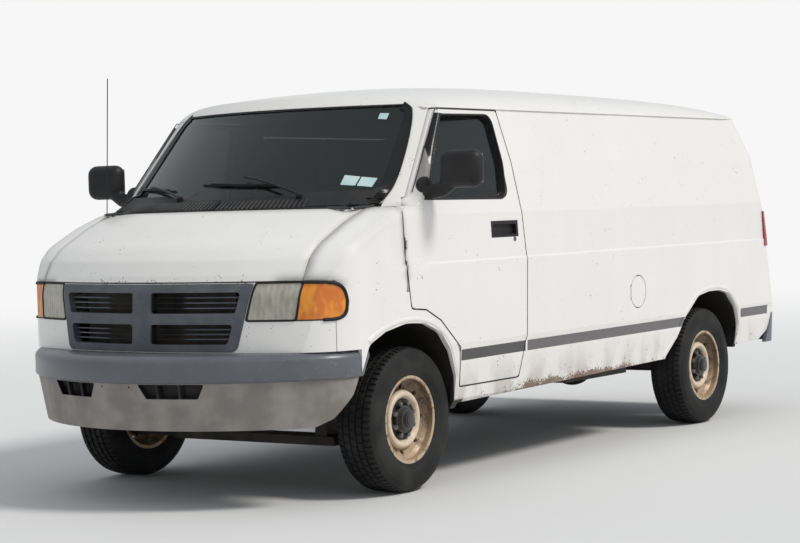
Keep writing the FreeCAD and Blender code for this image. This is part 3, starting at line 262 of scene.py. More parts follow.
def body_paint():
    finish = Finish("white_paint", Coat_Weight=0.35, Coat_Roughness=0.12)
    spot, x, y, z = finish.place()
    clouds = finish.noise(spot, 1.6, 4.0)
    streaks = finish.noise(spot, 5.0, 4.0, (1.0, 1.0, 0.25))
    specks = finish.noise(spot, 90.0, 3.0)
    patches = finish.noise(spot, 11.0, 5.0)
    low = finish.step(z, 0.74, 0.36)
    dull = (clouds * 0.5 + streaks * 0.5 - 0.42).limited() * 0.9 + low * 0.35
    grime = (low ** 2.0) * finish.step(streaks + patches * 0.4, 0.62, 0.86)
    sill = finish.band(x, -2.35, -0.95, 0.25) * finish.step(z, 0.475, 0.425)
    lip = finish.band(x, 0.760, 0.93, 0.02) * finish.step(z, 1.120, 1.060) * finish.step(z, 1.02, 1.04)
    spread = sill * 0.9 + lip * 0.34 + low * 0.18 + 0.045
    rust = finish.step(specks * 0.62 + patches * 0.38 + spread * 0.25, 0.66, 0.70)
    stripe_z = z + x * STRIPE_RISE
    stripe_x = sum((finish.band(x, *piece) for piece in STRIPE_PIECES[1:]), finish.band(x, *STRIPE_PIECES[0]))
    stripe = stripe_x * finish.band(stripe_z, STRIPE_LOW, STRIPE_HIGH, 0.0012) * (abs(y) > SIDE_Y)
    base = finish.mix(dull, PAINT_CLEAN, PAINT_DULL)
    ink = finish.mix(finish.step(x, -1.06, -1.02), STRIPE_COLOUR, STRIPE_DARK)
    base = finish.mix(stripe, base, ink)
    base = finish.mix(grime * 0.75, base, PAINT_GRIME)
    base = finish.mix(rust * 0.85, base, PAINT_RUST)
    # Painted shade: the wheel arch edges, hood hinge arms, window reveal and front door post are painted near black
    # where shade falls.
    inside = finish.step(abs(y), 0.968, 0.962) * finish.step(z, 0.91, 0.90)
    near_front = finish.band(x, -0.44, 0.52, 0.004) * inside
    near_rear = finish.band(x, -3.72, -2.60, 0.004) * inside
    reach = (((x - HOOD_AXIS_X) ** 2.0) + (y * y)) ** 0.5
    arms = (reach < HOOD_REACH - 0.012) * (x > 0.03) * (z < 1.43) * (z > 1.30) * (abs(y) < 0.80)
    ahead = x + (z - 1.857) * 0.739 + 0.4415
    behind = finish.add("ShaderNodeMath", {"operation": "MAXIMUM"}, (-0.8675 - x, 0.0))
    over = finish.add("ShaderNodeMath", {"operation": "MAXIMUM"}, (z - 1.8015, 0.0))
    beneath = finish.add("ShaderNodeMath", {"operation": "MAXIMUM"}, (1.4865 - z, 0.0))
    round_end = ((behind * behind) + ((over + beneath) ** 2.0)) ** 0.5
    reveal = finish.step(round_end, 0.0610, 0.0595) * finish.step(ahead, 0.001, -0.001) * (abs(y) > 0.70)
    front_post = finish.band(ahead, -0.03, 0.012, 0.001) * finish.band(z, 1.62, 1.862, 0.002) * (abs(y) > 0.70)
    painted_shade = (near_front + near_rear + arms + reveal + front_post).limited()
    base = finish.mix(painted_shade, base, PAINTED_SHADE)
    finish.set(Base_Color=base, Roughness=0.30 + grime * 0.35 + rust * 0.4 + clouds * 0.08 + painted_shade * 0.3)
    shoulder = finish.band(x, -0.10, 0.80, 0.05) * finish.step(abs(y), 0.66, 0.74) * finish.band(z, 1.04, 1.42, 0.03)
    shape = finish.blend_normals(shoulder, finish.eased(0.003), finish.eased(0.075))
    finish.bump(specks * 0.4 + patches * 0.6 - rust * 0.3, 0.0006, 0.35, shape)
    return finish.material


# %% [markdown]
# Plastic, rubber and steel are told apart by how dark they are and how widely they spread a highlight.
# Each gets a fine grain for its moulding or casting and a coarser one for dust.

# %% Plastics, rubber and steel


def grained(name, dark, light, roughness, grain, depth, **constants):
    """A finish between two colours, with grain of that scale and depth in metres."""
    finish = Finish(name, **{"Specular_IOR_Level": 0.3, **constants})
    spot, x, y, z = finish.place()
    dust = finish.noise(spot, 7.0, 4.0)
    fine = finish.noise(spot, grain, 2.0)
    finish.set(Base_Color=finish.mix(finish.step(dust, 0.35, 0.72), colour(*dark), colour(*light)))
    finish.set(Roughness=(roughness - 0.08) + dust * 0.16)
    finish.bump(fine, depth, 0.5, finish.eased(0.002))
    return finish.material


def grille_plastic():
    """Grey plastic whose openings, with the slats inside them, are black: partly the slats' own black, partly painted
    shade in the recess.
    """
    finish = Finish("grille_plastic", Specular_IOR_Level=0.3)
    spot, x, y, z = finish.place()
    dust = finish.noise(spot, 9.0, 4.0)
    wide = abs(y)
    slope = finish.step(wide, 0.552 + (z - 1.02) * 0.26, 0.548 + (z - 1.02) * 0.26)
    rows = finish.band(z, 0.921, 1.021, 0.001) + finish.band(z, 0.775, 0.871, 0.001)
    opening = finish.step(wide, 0.0555, 0.0575) * slope * rows
    front = ((((x + 0.08) ** 2.0) + (y * y)) ** 0.5) + (z - 0.97) * 0.06
    deep = finish.step(front, 0.9500, 0.9440)
    base = finish.mix(finish.step(dust, 0.35, 0.7), colour(0.085, 0.095, 0.110), colour(0.125, 0.130, 0.140))
    # Inside the openings everything behind the front face is painted near black: black slats and painted shade.
    finish.set(Base_Color=finish.mix(opening * deep, base, colour(0.006, 0.006, 0.007)))
    finish.set(Roughness=0.45 + dust * 0.2)
    finish.bump(dust, 0.0004, 0.5, finish.eased(0.004))
    return finish.material


def bumper_grey():
    """Grey moulded skin, scuffed pale in patches, more often towards its corners."""
    finish = Finish("bumper_grey", Coat_Weight=0.25, Coat_Roughness=0.25)
    spot, x, y, z = finish.place()
    dust = finish.noise(spot, 6.0, 4.0)
    chips = finish.noise(spot, 150.0, 4.0)
    rubs = finish.noise(spot, 16.0, 5.0, (1.0, 1.0, 2.5))
    corner = finish.step(abs(y), 0.45, 0.95)
    scuffs = finish.step(chips * 0.6 + rubs * 0.4 + corner * 0.05, 0.60, 0.70)
    base = finish.mix(dust, colour(0.070, 0.080, 0.100), colour(0.125, 0.130, 0.142))
    finish.set(Base_Color=finish.mix(scuffs * 0.5, base, colour(0.24, 0.24, 0.25)))
    finish.set(Roughness=0.30 + dust * 0.15 + scuffs * 0.2)
    finish.bump(chips, 0.0004, 0.4, finish.eased(0.006))
    return finish.material


def from_wheel_centre(finish, x, z):
    """How far a place is from the nearer axle's line."""
    nearest = finish.add("ShaderNodeMath", {"operation": "MINIMUM"}, (abs(x), abs(x - (REAR_AXLE_X - FRONT_AXLE_X))))
    rise = z - AXLE_Z
    return ((nearest * nearest) + (rise * rise)) ** 0.5


def wheel_steel():
    """Cream paint left on the raised ring and rusty steel in the well, which is painted dark at the top and tan at the
    bottom as painted shade and light, with a near-black centre recess of painted shade.
    """
    finish = Finish("wheel_steel", Metallic=0.1)
    spot, x, y, z = finish.place()
    patches = finish.noise(spot, 26.0, 5.0)
    pits = finish.noise(spot, 120.0, 4.0)
    radius = from_wheel_centre(finish, x, z)
    rust = finish.step(patches * 0.6 + pits * 0.4, 0.47, 0.66)
    # The well's rust is real; its darkness at the top is painted shade.
    well = finish.mix(rust, colour(0.17, 0.115, 0.070), colour(0.065, 0.040, 0.026))
    # Painted light: the lower part of the well is painted tan, as if lit.
    painted_light_below = finish.step(z - AXLE_Z, 0.06, -0.17)
    well = finish.mix(painted_light_below * (1 - rust * 0.6), well, colour(0.42, 0.30, 0.19))
    ring = finish.mix(rust * 0.35, colour(0.70, 0.585, 0.45), colour(0.36, 0.25, 0.16))
    base = finish.mix(finish.band(radius, 0.102, 0.144, 0.003), well, ring)
    edge = finish.mix(rust, colour(0.50, 0.39, 0.27), colour(0.15, 0.095, 0.055))
    base = finish.mix(finish.step(radius, 0.198, 0.206), base, edge)
    # Painted shade: the centre recess round the hub is painted near black.
    base = finish.mix(finish.step(radius, 0.106, 0.098), base, colour(0.030, 0.024, 0.020))
    finish.set(Base_Color=base, Roughness=0.42 + rust * 0.3)
    finish.bump(patches, 0.0008, 0.5, finish.eased(0.002))
    return finish.material


def hub_steel():
    """Greasy black iron with brighter nuts."""
    finish = Finish("hub_steel", Coat_Weight=0.5, Coat_Roughness=0.22)
    spot, x, y, z = finish.place()
    grease = finish.noise(spot, 60.0, 4.0)
    radius = from_wheel_centre(finish, x, z)
    nuts = finish.band(radius, 0.0695, 0.098, 0.001) * finish.step(abs(y), 0.885, 0.893)
    base = finish.mix(grease, colour(0.010, 0.010, 0.010), colour(0.040, 0.036, 0.034))
    finish.set(Base_Color=finish.mix(nuts * grease, base, colour(0.34, 0.33, 0.33)), Metallic=nuts * 0.8)
    finish.set(Roughness=0.30 + grease * 0.25)
    finish.bump(grease, 0.001, 0.5)
    return finish.material


def lens(name, tint, shade, roughness=0.12, flute=260.0):
    """A moulded lamp lens with upright flutes over a patchy reflector."""
    finish = Finish(name, Coat_Weight=0.5, Coat_Roughness=0.06)
    spot, x, y, z = finish.place()
    haze = finish.noise(spot, 9.0, 3.0)
    cells = finish.noise(spot, 38.0, 2.0, (1.0, 1.0, 0.45))
    flutes = ((y + x * 0.25) * flute).sine()
    inside = finish.step(haze * 0.5 + cells * 0.5 + flutes * 0.025, 0.40, 0.60)
    finish.set(Base_Color=finish.mix(inside, colour(*tint), colour(*shade)))
    finish.set(Roughness=roughness + haze * 0.12)
    finish.bump(flutes, 0.0012, 0.5)
    return finish.material


def tail_lens():
    """A red lens with level ribs."""
    finish = Finish("lamp_red", Coat_Weight=0.5, Coat_Roughness=0.08)
    spot, x, y, z = finish.place()
    ribs = (z * 330.0).sine() * 0.5 + 0.5
    finish.set(Base_Color=finish.mix(ribs, colour(0.24, 0.006, 0.014), colour(0.42, 0.020, 0.034)))
    finish.set(Roughness=0.14 + ribs * 0.06)
    finish.bump(ribs, 0.0025, 0.8)
    return finish.material


def floor_paint():
    """Painted floor above, black undercoat below and inside the wheelhouses."""
    finish = Finish("floor_paint", Specular_IOR_Level=0.3)
    spot, x, y, z = finish.place()
    dust = finish.noise(spot, 90.0, 4.0)
    arches = (finish.band(x, -0.46, 0.62, 0.01) + finish.band(x, -3.74, -2.56, 0.01)) * finish.step(z, 0.93, 0.92)
    under = (finish.step(z, 0.625, 0.620) + arches + finish.step(x, 0.10, 0.11)).limited()
    paint = finish.mix(dust, colour(0.30, 0.295, 0.28), colour(0.40, 0.39, 0.37))
    coat = finish.mix(dust, colour(0.010, 0.0095, 0.009), colour(0.028, 0.025, 0.022))
    finish.set(Base_Color=finish.mix(under, paint, coat), Roughness=0.5 + dust * 0.25)
    finish.bump(dust, 0.001, 0.5)
    return finish.material


def window_glass():
    finish = Finish("window_glass", Transmission_Weight=0.95, IOR=1.45, Specular_IOR_Level=0.28)
    spot, x, y, z = finish.place()
    film = finish.noise(spot, 3.0, 4.0)
    finish.set(Base_Color=finish.mix(film, colour(0.11, 0.135, 0.13), colour(0.15, 0.175, 0.17)))
    finish.set(Roughness=0.015 + film * 0.02)
    return finish.material


FINISHES = {
    "white_paint": body_paint(),
    "dark_trim": grained("dark_trim", (0.010, 0.010, 0.011), (0.022, 0.021, 0.021), 0.50, 650.0, 0.0004),
    "grille_plastic": grille_plastic(),
    "bumper_grey": bumper_grey(),
    "valance_grey": grained("valance_grey", (0.205, 0.190, 0.175), (0.30, 0.28, 0.255), 0.55, 300.0, 0.0004),
    "window_glass": window_glass(),
    "lamp_clear": lens("lamp_clear", (0.42, 0.40, 0.33), (0.31, 0.30, 0.245)),
    "lamp_amber": lens("lamp_amber", (0.80, 0.28, 0.010), (0.60, 0.15, 0.004), flute=150.0),
    "lamp_red": tail_lens(),
    "tyre_rubber": grained("tyre_rubber", (0.009, 0.009, 0.009), (0.026, 0.025, 0.024), 0.70, 420.0, 0.0005),
    "wheel_steel": wheel_steel(),
    "hub_steel": hub_steel(),
    "chassis_steel": grained("chassis_steel", (0.028, 0.026, 0.024), (0.075, 0.065, 0.055), 0.6, 120.0, 0.0008),
    "floor_paint": floor_paint(),
    "engine_iron": grained("engine_iron", (0.09, 0.085, 0.08), (0.16, 0.15, 0.14), 0.55, 150.0, 0.001, Metallic=0.4),
    "seat_cloth": grained("seat_cloth", (0.075, 0.075, 0.082), (0.115, 0.115, 0.12), 0.9, 900.0, 0.0008, Sheen_Weight=0.3),
    "dash_plastic": grained("dash_plastic", (0.075, 0.075, 0.08), (0.105, 0.105, 0.11), 0.6, 700.0, 0.0004),
    "slot_black": grained("slot_black", (0.008, 0.008, 0.009), (0.018, 0.018, 0.018), 0.6, 500.0, 0.0003),
    "rib_black": grained("rib_black", (0.030, 0.030, 0.032), (0.060, 0.060, 0.060), 0.38, 500.0, 0.0003),
    "wiper_black": grained("wiper_black", (0.012, 0.012, 0.013), (0.026, 0.026, 0.026), 0.42, 400.0, 0.0003),
    "mirror_silver": grained("mirror_silver", (0.80, 0.81, 0.82), (0.86, 0.87, 0.88), 0.09, 60.0, 0.00002, Metallic=1.0),
    "quarter_grey": grained("quarter_grey", (0.22, 0.215, 0.21), (0.29, 0.285, 0.275), 0.55, 500.0, 0.0003),
    "sticker_paper": grained("sticker_paper", (0.42, 0.60, 0.60), (0.55, 0.70, 0.69), 0.5, 900.0, 0.0001),
    "edge_black": grained("edge_black", (0.007, 0.007, 0.008), (0.012, 0.012, 0.012), 0.28, 60.0, 0.0001),
    "lock_steel": grained("lock_steel", (0.10, 0.10, 0.105), (0.20, 0.20, 0.20), 0.35, 300.0, 0.0002, Metallic=0.7),
}
for part in frame["record"]["subparts"]:
    mesh = NODES[part["node"]].data
    mesh.materials.clear()
    mesh.materials.append(FINISHES[part["material_slot"]])
print("finishes:", len(FINISHES))

# %% [markdown]
# Every added piece goes through the same bench routine: clear the bench, add a primitive, shape it, hand it over.
# Faces are picked in code by where they lie and which way they look, because there is no mouse here.

# %% Bench helpers


def clear_bench():
    active = bpy.context.view_layer.objects.active
    if active and active.mode != "OBJECT":
        bpy.ops.object.mode_set(mode="OBJECT")
    bpy.ops.object.select_all(action="DESELECT")


def pick(test, kind="polygons"):
    """Select the faces, edges or vertices that pass a test, and stay in edit mode."""
    modes = {"polygons": "FACE", "edges": "EDGE", "vertices": "VERT"}
    bpy.ops.object.mode_set(mode="EDIT")
    bpy.ops.mesh.select_mode(type=modes[kind])
    bpy.ops.mesh.select_all(action="DESELECT")
    bpy.ops.object.mode_set(mode="OBJECT")
    for item in getattr(bpy.context.object.data, kind):
        item.select = bool(test(item))
    bpy.ops.object.mode_set(mode="EDIT")


def push(distance):
    """Extrude the picked faces along their normals."""
    bpy.ops.mesh.extrude_region_shrink_fatten(TRANSFORM_OT_shrink_fatten={"value": distance})


def tidy_normals():
    bpy.ops.object.mode_set(mode="EDIT")
    bpy.ops.mesh.select_all(action="SELECT")
    bpy.ops.mesh.remove_doubles(threshold=0.00005)
    bpy.ops.mesh.normals_make_consistent(inside=False)
    bpy.ops.object.mode_set(mode="OBJECT")


def hand_over(name, slot, body, finish=None, smooth=35.0):
    """Name the active piece, give it its finish and let it ride on its body."""
    piece = bpy.context.object
    if piece.mode != "OBJECT":
        bpy.ops.object.mode_set(mode="OBJECT")
    clear_bench()
    piece.select_set(True)
    bpy.context.view_layer.objects.active = piece
    bpy.ops.object.transform_apply(location=True, rotation=True, scale=True)
    bpy.ops.object.shade_smooth_by_angle(angle=math.radians(smooth))
    piece.name = name
    piece.data.name = name
    piece.data.materials.clear()
    piece.data.materials.append(FINISHES[finish or slot])
    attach(piece, body)
    return piece


def copy_of(piece, name, matrix, body, mirrored=False):
    """A copy with its own mesh, moved within the mesh."""
    twin = piece.copy()
    twin.data = piece.data.copy()
    twin.name = name
    twin.data.name = name
    bpy.context.scene.collection.objects.link(twin)
    twin.parent = None
    twin.matrix_world = Matrix.Identity(4)
    twin.data.transform(matrix)
    if mirrored:
        twin.data.flip_normals()
    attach(twin, body)
    return twin


MIRROR_Y = Matrix.Scale(-1.0, 4, (0, 1, 0))
print("bench ready")

# %% [markdown]
# A road tyre is a ring of rubber with grooves round it, sipes across its shoulders and ribs on its sidewall.
# It could be a torus, but a torus has a round tread. Here its cross-section starts as a circle whose points are
# moved to a measured profile, which is spun about the axle; the sipes are faces pushed in by a few millimetres.

# %% Tyres
TYRE_HALF_SECTION = (
    (0.000, 0.3570), (0.0135, 0.3570), (0.0150, 0.3490), (0.0230, 0.3490), (0.0245, 0.3568),
    (0.0500, 0.3560), (0.0515, 0.3480), (0.0600, 0.3475), (0.0615, 0.3552), (0.0860, 0.3512),
    (0.0945, 0.3455), (0.1005, 0.3360), (0.1025, 0.3300), (0.1060, 0.3260), (0.1085, 0.3130),
    (0.1115, 0.2960), (0.1128, 0.2780), (0.1120, 0.2620), (0.1090, 0.2450), (0.1072, 0.2425),
    (0.1065, 0.2390), (0.1040, 0.2330), (0.1010, 0.2255), (0.1010, 0.2215), (0.0965, 0.2165), (0.0900, 0.2040),
)
TYRE_STEPS = 216
SIPE_DEPTH = 0.0055


def tyre_ring():
    """A tyre round the Y axis, centred on the origin."""
    clear_bench()
    half = list(TYRE_HALF_SECTION)
    section = half + [(-y, r) for y, r in reversed(half[1:])]
    bpy.ops.mesh.primitive_circle_add(vertices=len(section), radius=0.2, location=(0, 0, 0))
    ring = bpy.context.object
    for vertex, (y, radius) in zip(ring.data.vertices, section):
        vertex.co = (0.0, y, radius)
    pick(lambda edge: True, "edges")
    bpy.ops.mesh.spin(steps=TYRE_STEPS, angle=math.tau, center=(0, 0, 0), axis=(0, 1, 0))
    tidy_normals()
    return ring


def turn_count(centre):
    """Which step of the spin a face lies in."""
    return int(math.floor(math.atan2(centre.x, centre.z) / math.tau * TYRE_STEPS + 0.01)) % TYRE_STEPS


def in_rib(face, low, high):
    radius = math.hypot(face.center.x, face.center.z)
    return low < abs(face.center.y) < high and radius > 0.340 and abs(face.normal.y) < 0.75


ring = tyre_ring()
pick(lambda face: in_rib(face, 0.062, 0.099) and turn_count(face.center) % 3 == 0)
push(-SIPE_DEPTH)
pick(lambda face: in_rib(face, 0.026, 0.049) and turn_count(face.center) % 4 == 1)
push(-SIPE_DEPTH * 0.7)
pick(lambda face: in_rib(face, -1.0, 0.013) and turn_count(face.center) % 4 == 3)
push(-SIPE_DEPTH * 0.7)
bpy.ops.object.mode_set(mode="OBJECT")
ring.data.transform(Matrix.Translation((FRONT_AXLE_X, JOINTS["wheel_front_left_spin"]["pos_m"][1], AXLE_Z)))
tyre_front_left = hand_over("tread_front_left", "tyre_rubber", "wheel_fl")
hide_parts("tyre_front_left")
WHEEL_PLACES = {name: Vector(JOINTS["wheel_" + name + "_spin"]["pos_m"])
                for name in ("front_left", "front_right", "rear_left", "rear_right")}
WHEEL_BODIES = {"front_left": "wheel_fl", "front_right": "wheel_fr", "rear_left": "wheel_rl", "rear_right": "wheel_rr"}
for name, place in list(WHEEL_PLACES.items())[1:]:
    move = Matrix.Translation(place - WHEEL_PLACES["front_left"])
    tyre = copy_of(tyre_front_left, "tread_" + name, move, WHEEL_BODIES[name])
    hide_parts("tyre_" + name)
print("tyre faces:", len(tyre_front_left.data.polygons))

# %% [markdown]
# Behind the open centre of a steel wheel sits the hub: a dark stepped drum, a grease cap and a ring of nuts.
# Drum and cap come from one cylinder by inset and extrude. One nut is made with its washer and copied round.

# %% Hubs and wheel nuts
HUB_RADIUS = 0.069
NUT_CIRCLE = 0.0825
NUT_COUNT = 8


def hub_drum():
    """A stepped drum with a domed cap, facing +Y."""
    clear_bench()
    bpy.ops.mesh.primitive_cylinder_add(vertices=40, radius=HUB_RADIUS, depth=0.030, location=(0, 0.049, 0),
                                        rotation=(-math.pi / 2, 0, 0))
    bpy.ops.object.transform_apply(location=True, rotation=True, scale=True)
    for inset, rise in ((0.008, 0.004), (0.006, 0.014), (0.012, 0.003), (0.004, 0.012), (0.007, 0.005)):
        pick(lambda face: face.normal.y > 0.9 and face.center.y > 0.06 and len(face.vertices) > 8)
        bpy.ops.mesh.inset(thickness=inset)
        push(rise)
    bpy.ops.object.mode_set(mode="OBJECT")
    edge = bpy.context.object.modifiers.new("soft_edge", "BEVEL")
    edge.width = 0.0018
    edge.segments = 2
    edge.limit_method = "ANGLE"
    bpy.ops.object.modifier_apply(modifier=edge.name)
    return bpy.context.object


def wheel_nut():
    """A six-sided nut on a washer, facing +Y, on the nut circle."""
    clear_bench()
    bpy.ops.mesh.primitive_cylinder_add(vertices=24, radius=0.0150, depth=0.004, location=(0, 0.044, NUT_CIRCLE),
                                        rotation=(-math.pi / 2, 0, 0))
    washer = bpy.context.object
    bpy.ops.object.transform_apply(location=True, rotation=True, scale=True)
    bpy.ops.object.select_all(action="DESELECT")
    bpy.ops.mesh.primitive_cylinder_add(vertices=6, radius=0.0132, depth=0.022, location=(0, 0.056, NUT_CIRCLE),
                                        rotation=(-math.pi / 2, 0, 0))
    bpy.ops.object.transform_apply(location=True, rotation=True, scale=True)
    pick(lambda face: face.normal.y > 0.9)
    bpy.ops.mesh.inset(thickness=0.004)
    push(0.003)
    bpy.ops.object.mode_set(mode="OBJECT")
    washer.select_set(True)
    bpy.ops.object.join()
    edge = bpy.context.object.modifiers.new("soft_edge", "BEVEL")
    edge.width = 0.0008
    edge.segments = 2
    bpy.ops.object.modifier_apply(modifier=edge.name)
    return bpy.context.object


def hub_set():
    drum = hub_drum()
    nut = wheel_nut()
    clear_bench()
    for index in range(1, NUT_COUNT):
        extra = nut.copy()
        extra.data = nut.data.copy()
        extra.data.transform(Matrix.Rotation(math.tau * index / NUT_COUNT, 4, "Y"))
        bpy.context.scene.collection.objects.link(extra)
        extra.select_set(True)
    nut.select_set(True)
    drum.select_set(True)
    bpy.context.view_layer.objects.active = drum
    bpy.ops.object.join()
    turned = Matrix.Rotation(math.tau / NUT_COUNT / 2, 4, "Y")
    drum.data.transform(turned)
    return drum


first_hub = hub_set()
first_hub.data.transform(Matrix.Translation(WHEEL_PLACES["front_left"]))
first_hub = hand_over("hub_front_left", "hub_steel", "wheel_fl", smooth=30.0)
for name, place in list(WHEEL_PLACES.items())[1:]:
    outward = MIRROR_Y if place.y < 0 else Matrix.Identity(4)
    home = Matrix.Translation(-WHEEL_PLACES["front_left"])
    hub = copy_of(first_hub, "hub_" + name, Matrix.Translation(place) @ outward @ home,
                  WHEEL_BODIES[name], mirrored=place.y < 0)
print("nuts per wheel:", NUT_COUNT)

# %% [markdown]
# Rubber seals and trim lines follow the edge of a panel, so they are drawn as outlines that are laid on the panel.
# The outline's points are dropped onto the construction model, joined up as bare edges and given a round section.

# %% Lines laid on the body
SIDE_SIGNS = (("left", 1.0), ("right", -1.0))


def rounded(corners, step=0.03):
    """Points along a closed outline with rounded corners, from rows of (first, second, radius)."""
    count = len(corners)
    path = []
    for index in range(count):
        before = Vector(corners[index - 1][:2])
        corner = Vector(corners[index][:2])
        after = Vector(corners[(index + 1) % count][:2])
        radius = corners[index][2]
        into, out = (before - corner).normalized(), (after - corner).normalized()
        if radius <= 0.0:
            path.append(corner)
            continue
        half = into.angle(out) / 2
        reach = radius / math.tan(half)
        centre = corner + (into + out).normalized() * (radius / math.sin(half))
        start, end = corner + into * reach, corner + out * reach
        for part in range(7):
            share = part / 6
            spoke = (start - centre).slerp(end - centre, share).normalized()
            path.append(centre + spoke * radius)
    return spaced(path, step, True)


def spaced(path, step, closed):
    """The same path with points no further apart than step."""
    result = []
    pairs = list(zip(path, path[1:] + path[:1])) if closed else list(zip(path, path[1:]))
    for first, second in pairs:
        parts = max(1, int(math.ceil((second - first).length / step)))
        result += [first.lerp(second, part / parts) for part in range(parts)]
    if not closed:
        result.append(path[-1])
    return result


def landed(origin, direction, names, lift):
    """Where a ray first meets one of the named nodes, lifted off it along its normal."""
    best = None
    for name in names:
        hit, place, normal, index = NODES[name].ray_cast(origin, direction)
        if hit and (best is None or (place - origin).length < (best[0] - origin).length):
            best = (place, normal)
    if best is None:
        return None
    return best[0] + best[1] * lift


def on_side(points, names, lift=0.0, sign=1.0):
    """Side-view points (x from the front axle, z) laid on the left or right side."""
    rays = [(at(x, 1.6 * sign, z), Vector((0, -sign, 0))) for x, z in points]
    return [spot for spot in (landed(a, b, names, lift) for a, b in rays) if spot is not None]


def on_end(points, names, lift=0.0, front=True):
    """End-view points (y, z) laid on the front or the back."""
    way = -1.0 if front else 1.0
    rays = [(Vector((-way * 4.0, y, z)), Vector((way, 0, 0))) for y, z in points]
    return [spot for spot in (landed(a, b, names, lift) for a, b in rays) if spot is not None]


def near_hit(lay, spot):
    """The nearest place that a ray finds, because some rays fall through a gap or an opening."""
    for nudge in (0.0, 0.006, -0.006, 0.012, -0.012, 0.02, -0.02):
        for lift in (0.0, 0.003, -0.003, 0.006, -0.006, 0.012, -0.012):
            found = lay(spot + Vector((nudge, lift)))
            if found:
                return found[0]
    raise ValueError("no panel under " + str(spot))


def bead(name, points, radius, slot, body, closed=True, finish=None):
    """A round-sectioned strip along points."""
    clear_bench()
    bpy.ops.mesh.primitive_circle_add(vertices=len(points), radius=0.1, location=(0, 0, 0))
    strip = bpy.context.object
    for vertex, place in zip(strip.data.vertices, points):
        vertex.co = place
    if not closed:
        last = len(points) - 1
        pick(lambda edge: {edge.vertices[0], edge.vertices[1]} == {0, last}, "edges")
        bpy.ops.mesh.delete(type="EDGE")
        bpy.ops.object.mode_set(mode="OBJECT")
    bpy.ops.object.convert(target="CURVE")
    strip.data.bevel_depth = radius
    strip.data.bevel_resolution = 2
    strip.data.use_fill_caps = True
    bpy.ops.object.convert(target="MESH")
    return hand_over(name, slot, body, finish, smooth=60.0)


print("line helpers ready")

# %% [markdown]
# Window glass sits in black rubber. Its edge is what separates glass from paint at any distance.
# The outlines repeat the windows of the construction model, a few millimetres onto the panel around them.

# %% Window seals
WINDSHIELD_LINE = ((0.825, 1.412, 0.03), (0.746, 1.912, 0.05), (-0.746, 1.912, 0.05), (-0.825, 1.412, 0.03))
DOOR_WINDOW_LINE = (
    (-0.4415, 1.857, 0.022), (-0.126, 1.430, 0.014), (-0.899, 1.424, 0.062), (-0.930, 1.600, 0.300),
    (-0.922, 1.863, 0.055),
)
REAR_WINDOW_LINE = ((0.106, 1.391, 0.062), (0.746, 1.391, 0.062), (0.704, 1.746, 0.062), (0.106, 1.746, 0.062))

glass_edge = on_end(rounded(WINDSHIELD_LINE), ("windshield_frame", "windshield", "cowl_panel", "roof"), -0.001)
bead("windshield_seal", glass_edge, 0.0055, "dark_trim", "van")
for side, sign in SIDE_SIGNS:
    door = "door_front_" + side
    line = on_side(rounded(DOOR_WINDOW_LINE), (door,), -0.0015, sign)
    bead("window_seal_" + side, line, 0.0055, "dark_trim", "front_door_" + side[0])
    rear = "rear_door_" + side
    corners = [(y * sign, z, radius) for y, z, radius in REAR_WINDOW_LINE]
    line = on_end(rounded(corners), (rear,), -0.001, front=False)
    bead("rear_window_seal_" + side, line, 0.0055, "dark_trim", "rear_leaf_" + side[0])
print("seal points on the windshield:", len(glass_edge))

# %% [markdown]
# The front bumper is a pressed bar that bows across the nose and wraps round both corners to the wheel arches.
# A straight extrusion would lose the bow. One section is spun about two upright axes, run back, cut and mirrored.

# %% Front bumper bar
BUMPER_AXIS_X, BUMPER_RADIUS = -0.080, 1.180
BUMPER_CORNER, BUMPER_HALF = 0.350, 0.982
BAR_SECTION = (
    (-0.014, 0.6065), (-0.003, 0.6100), (0.000, 0.6200), (-0.001, 0.6600), (0.000, 0.7000), (-0.004, 0.7110),
    (-0.016, 0.7250), (-0.034, 0.7345), (-0.050, 0.7360), (-0.200, 0.7350), (-0.200, 0.6150),
)
BAR_END_TOP, BAR_END_LOW = (0.368, 0.738), (0.446, 0.603)


def bumper_bar():
    clear_bench()
    bpy.ops.mesh.primitive_circle_add(vertices=len(BAR_SECTION), radius=0.1, location=(0, 0, 0))
    bar = bpy.context.object
    nose = BUMPER_AXIS_X + BUMPER_RADIUS
    for vertex, (depth, z) in zip(bar.data.vertices, BAR_SECTION):
        vertex.co = at(nose + depth, 0.0, z)
    reach = BUMPER_RADIUS - BUMPER_CORNER
    corner_y = BUMPER_HALF - BUMPER_CORNER
    corner_x = BUMPER_AXIS_X + math.sqrt(reach ** 2 - corner_y ** 2)
    turn = math.atan2(corner_y, corner_x - BUMPER_AXIS_X)
    pick(lambda edge: True, "edges")
    bpy.ops.mesh.spin(steps=28, angle=-turn, center=at(BUMPER_AXIS_X, 0, 0), axis=(0, 0, 1))
    bpy.ops.mesh.spin(steps=16, angle=turn - math.pi / 2, center=at(corner_x, corner_y, 0), axis=(0, 0, 1))
    bpy.ops.mesh.extrude_region_move(TRANSFORM_OT_translate={"value": (-0.10, 0, 0)})
    bpy.ops.mesh.select_all(action="SELECT")
    slope = Vector((BAR_END_TOP[0] - BAR_END_LOW[0], 0, BAR_END_TOP[1] - BAR_END_LOW[1]))
    square = Vector((slope.z, 0, -slope.x))
    bpy.ops.mesh.bisect(plane_co=at(BAR_END_LOW[0], 0, BAR_END_LOW[1]), plane_no=square, use_fill=True,
                        clear_inner=True)
    bpy.ops.object.mode_set(mode="OBJECT")
    twin = bar.modifiers.new("other_half", "MIRROR")
    twin.use_axis = (False, True, False)
    twin.use_clip = True
    bpy.ops.object.modifier_apply(modifier=twin.name)
    tidy_normals()
    edge = bar.modifiers.new("soft_edge", "BEVEL")
    edge.width = 0.003
    edge.segments = 2
    edge.limit_method = "ANGLE"
    edge.angle_limit = math.radians(50)
    bpy.ops.object.modifier_apply(modifier=edge.name)
    return bar


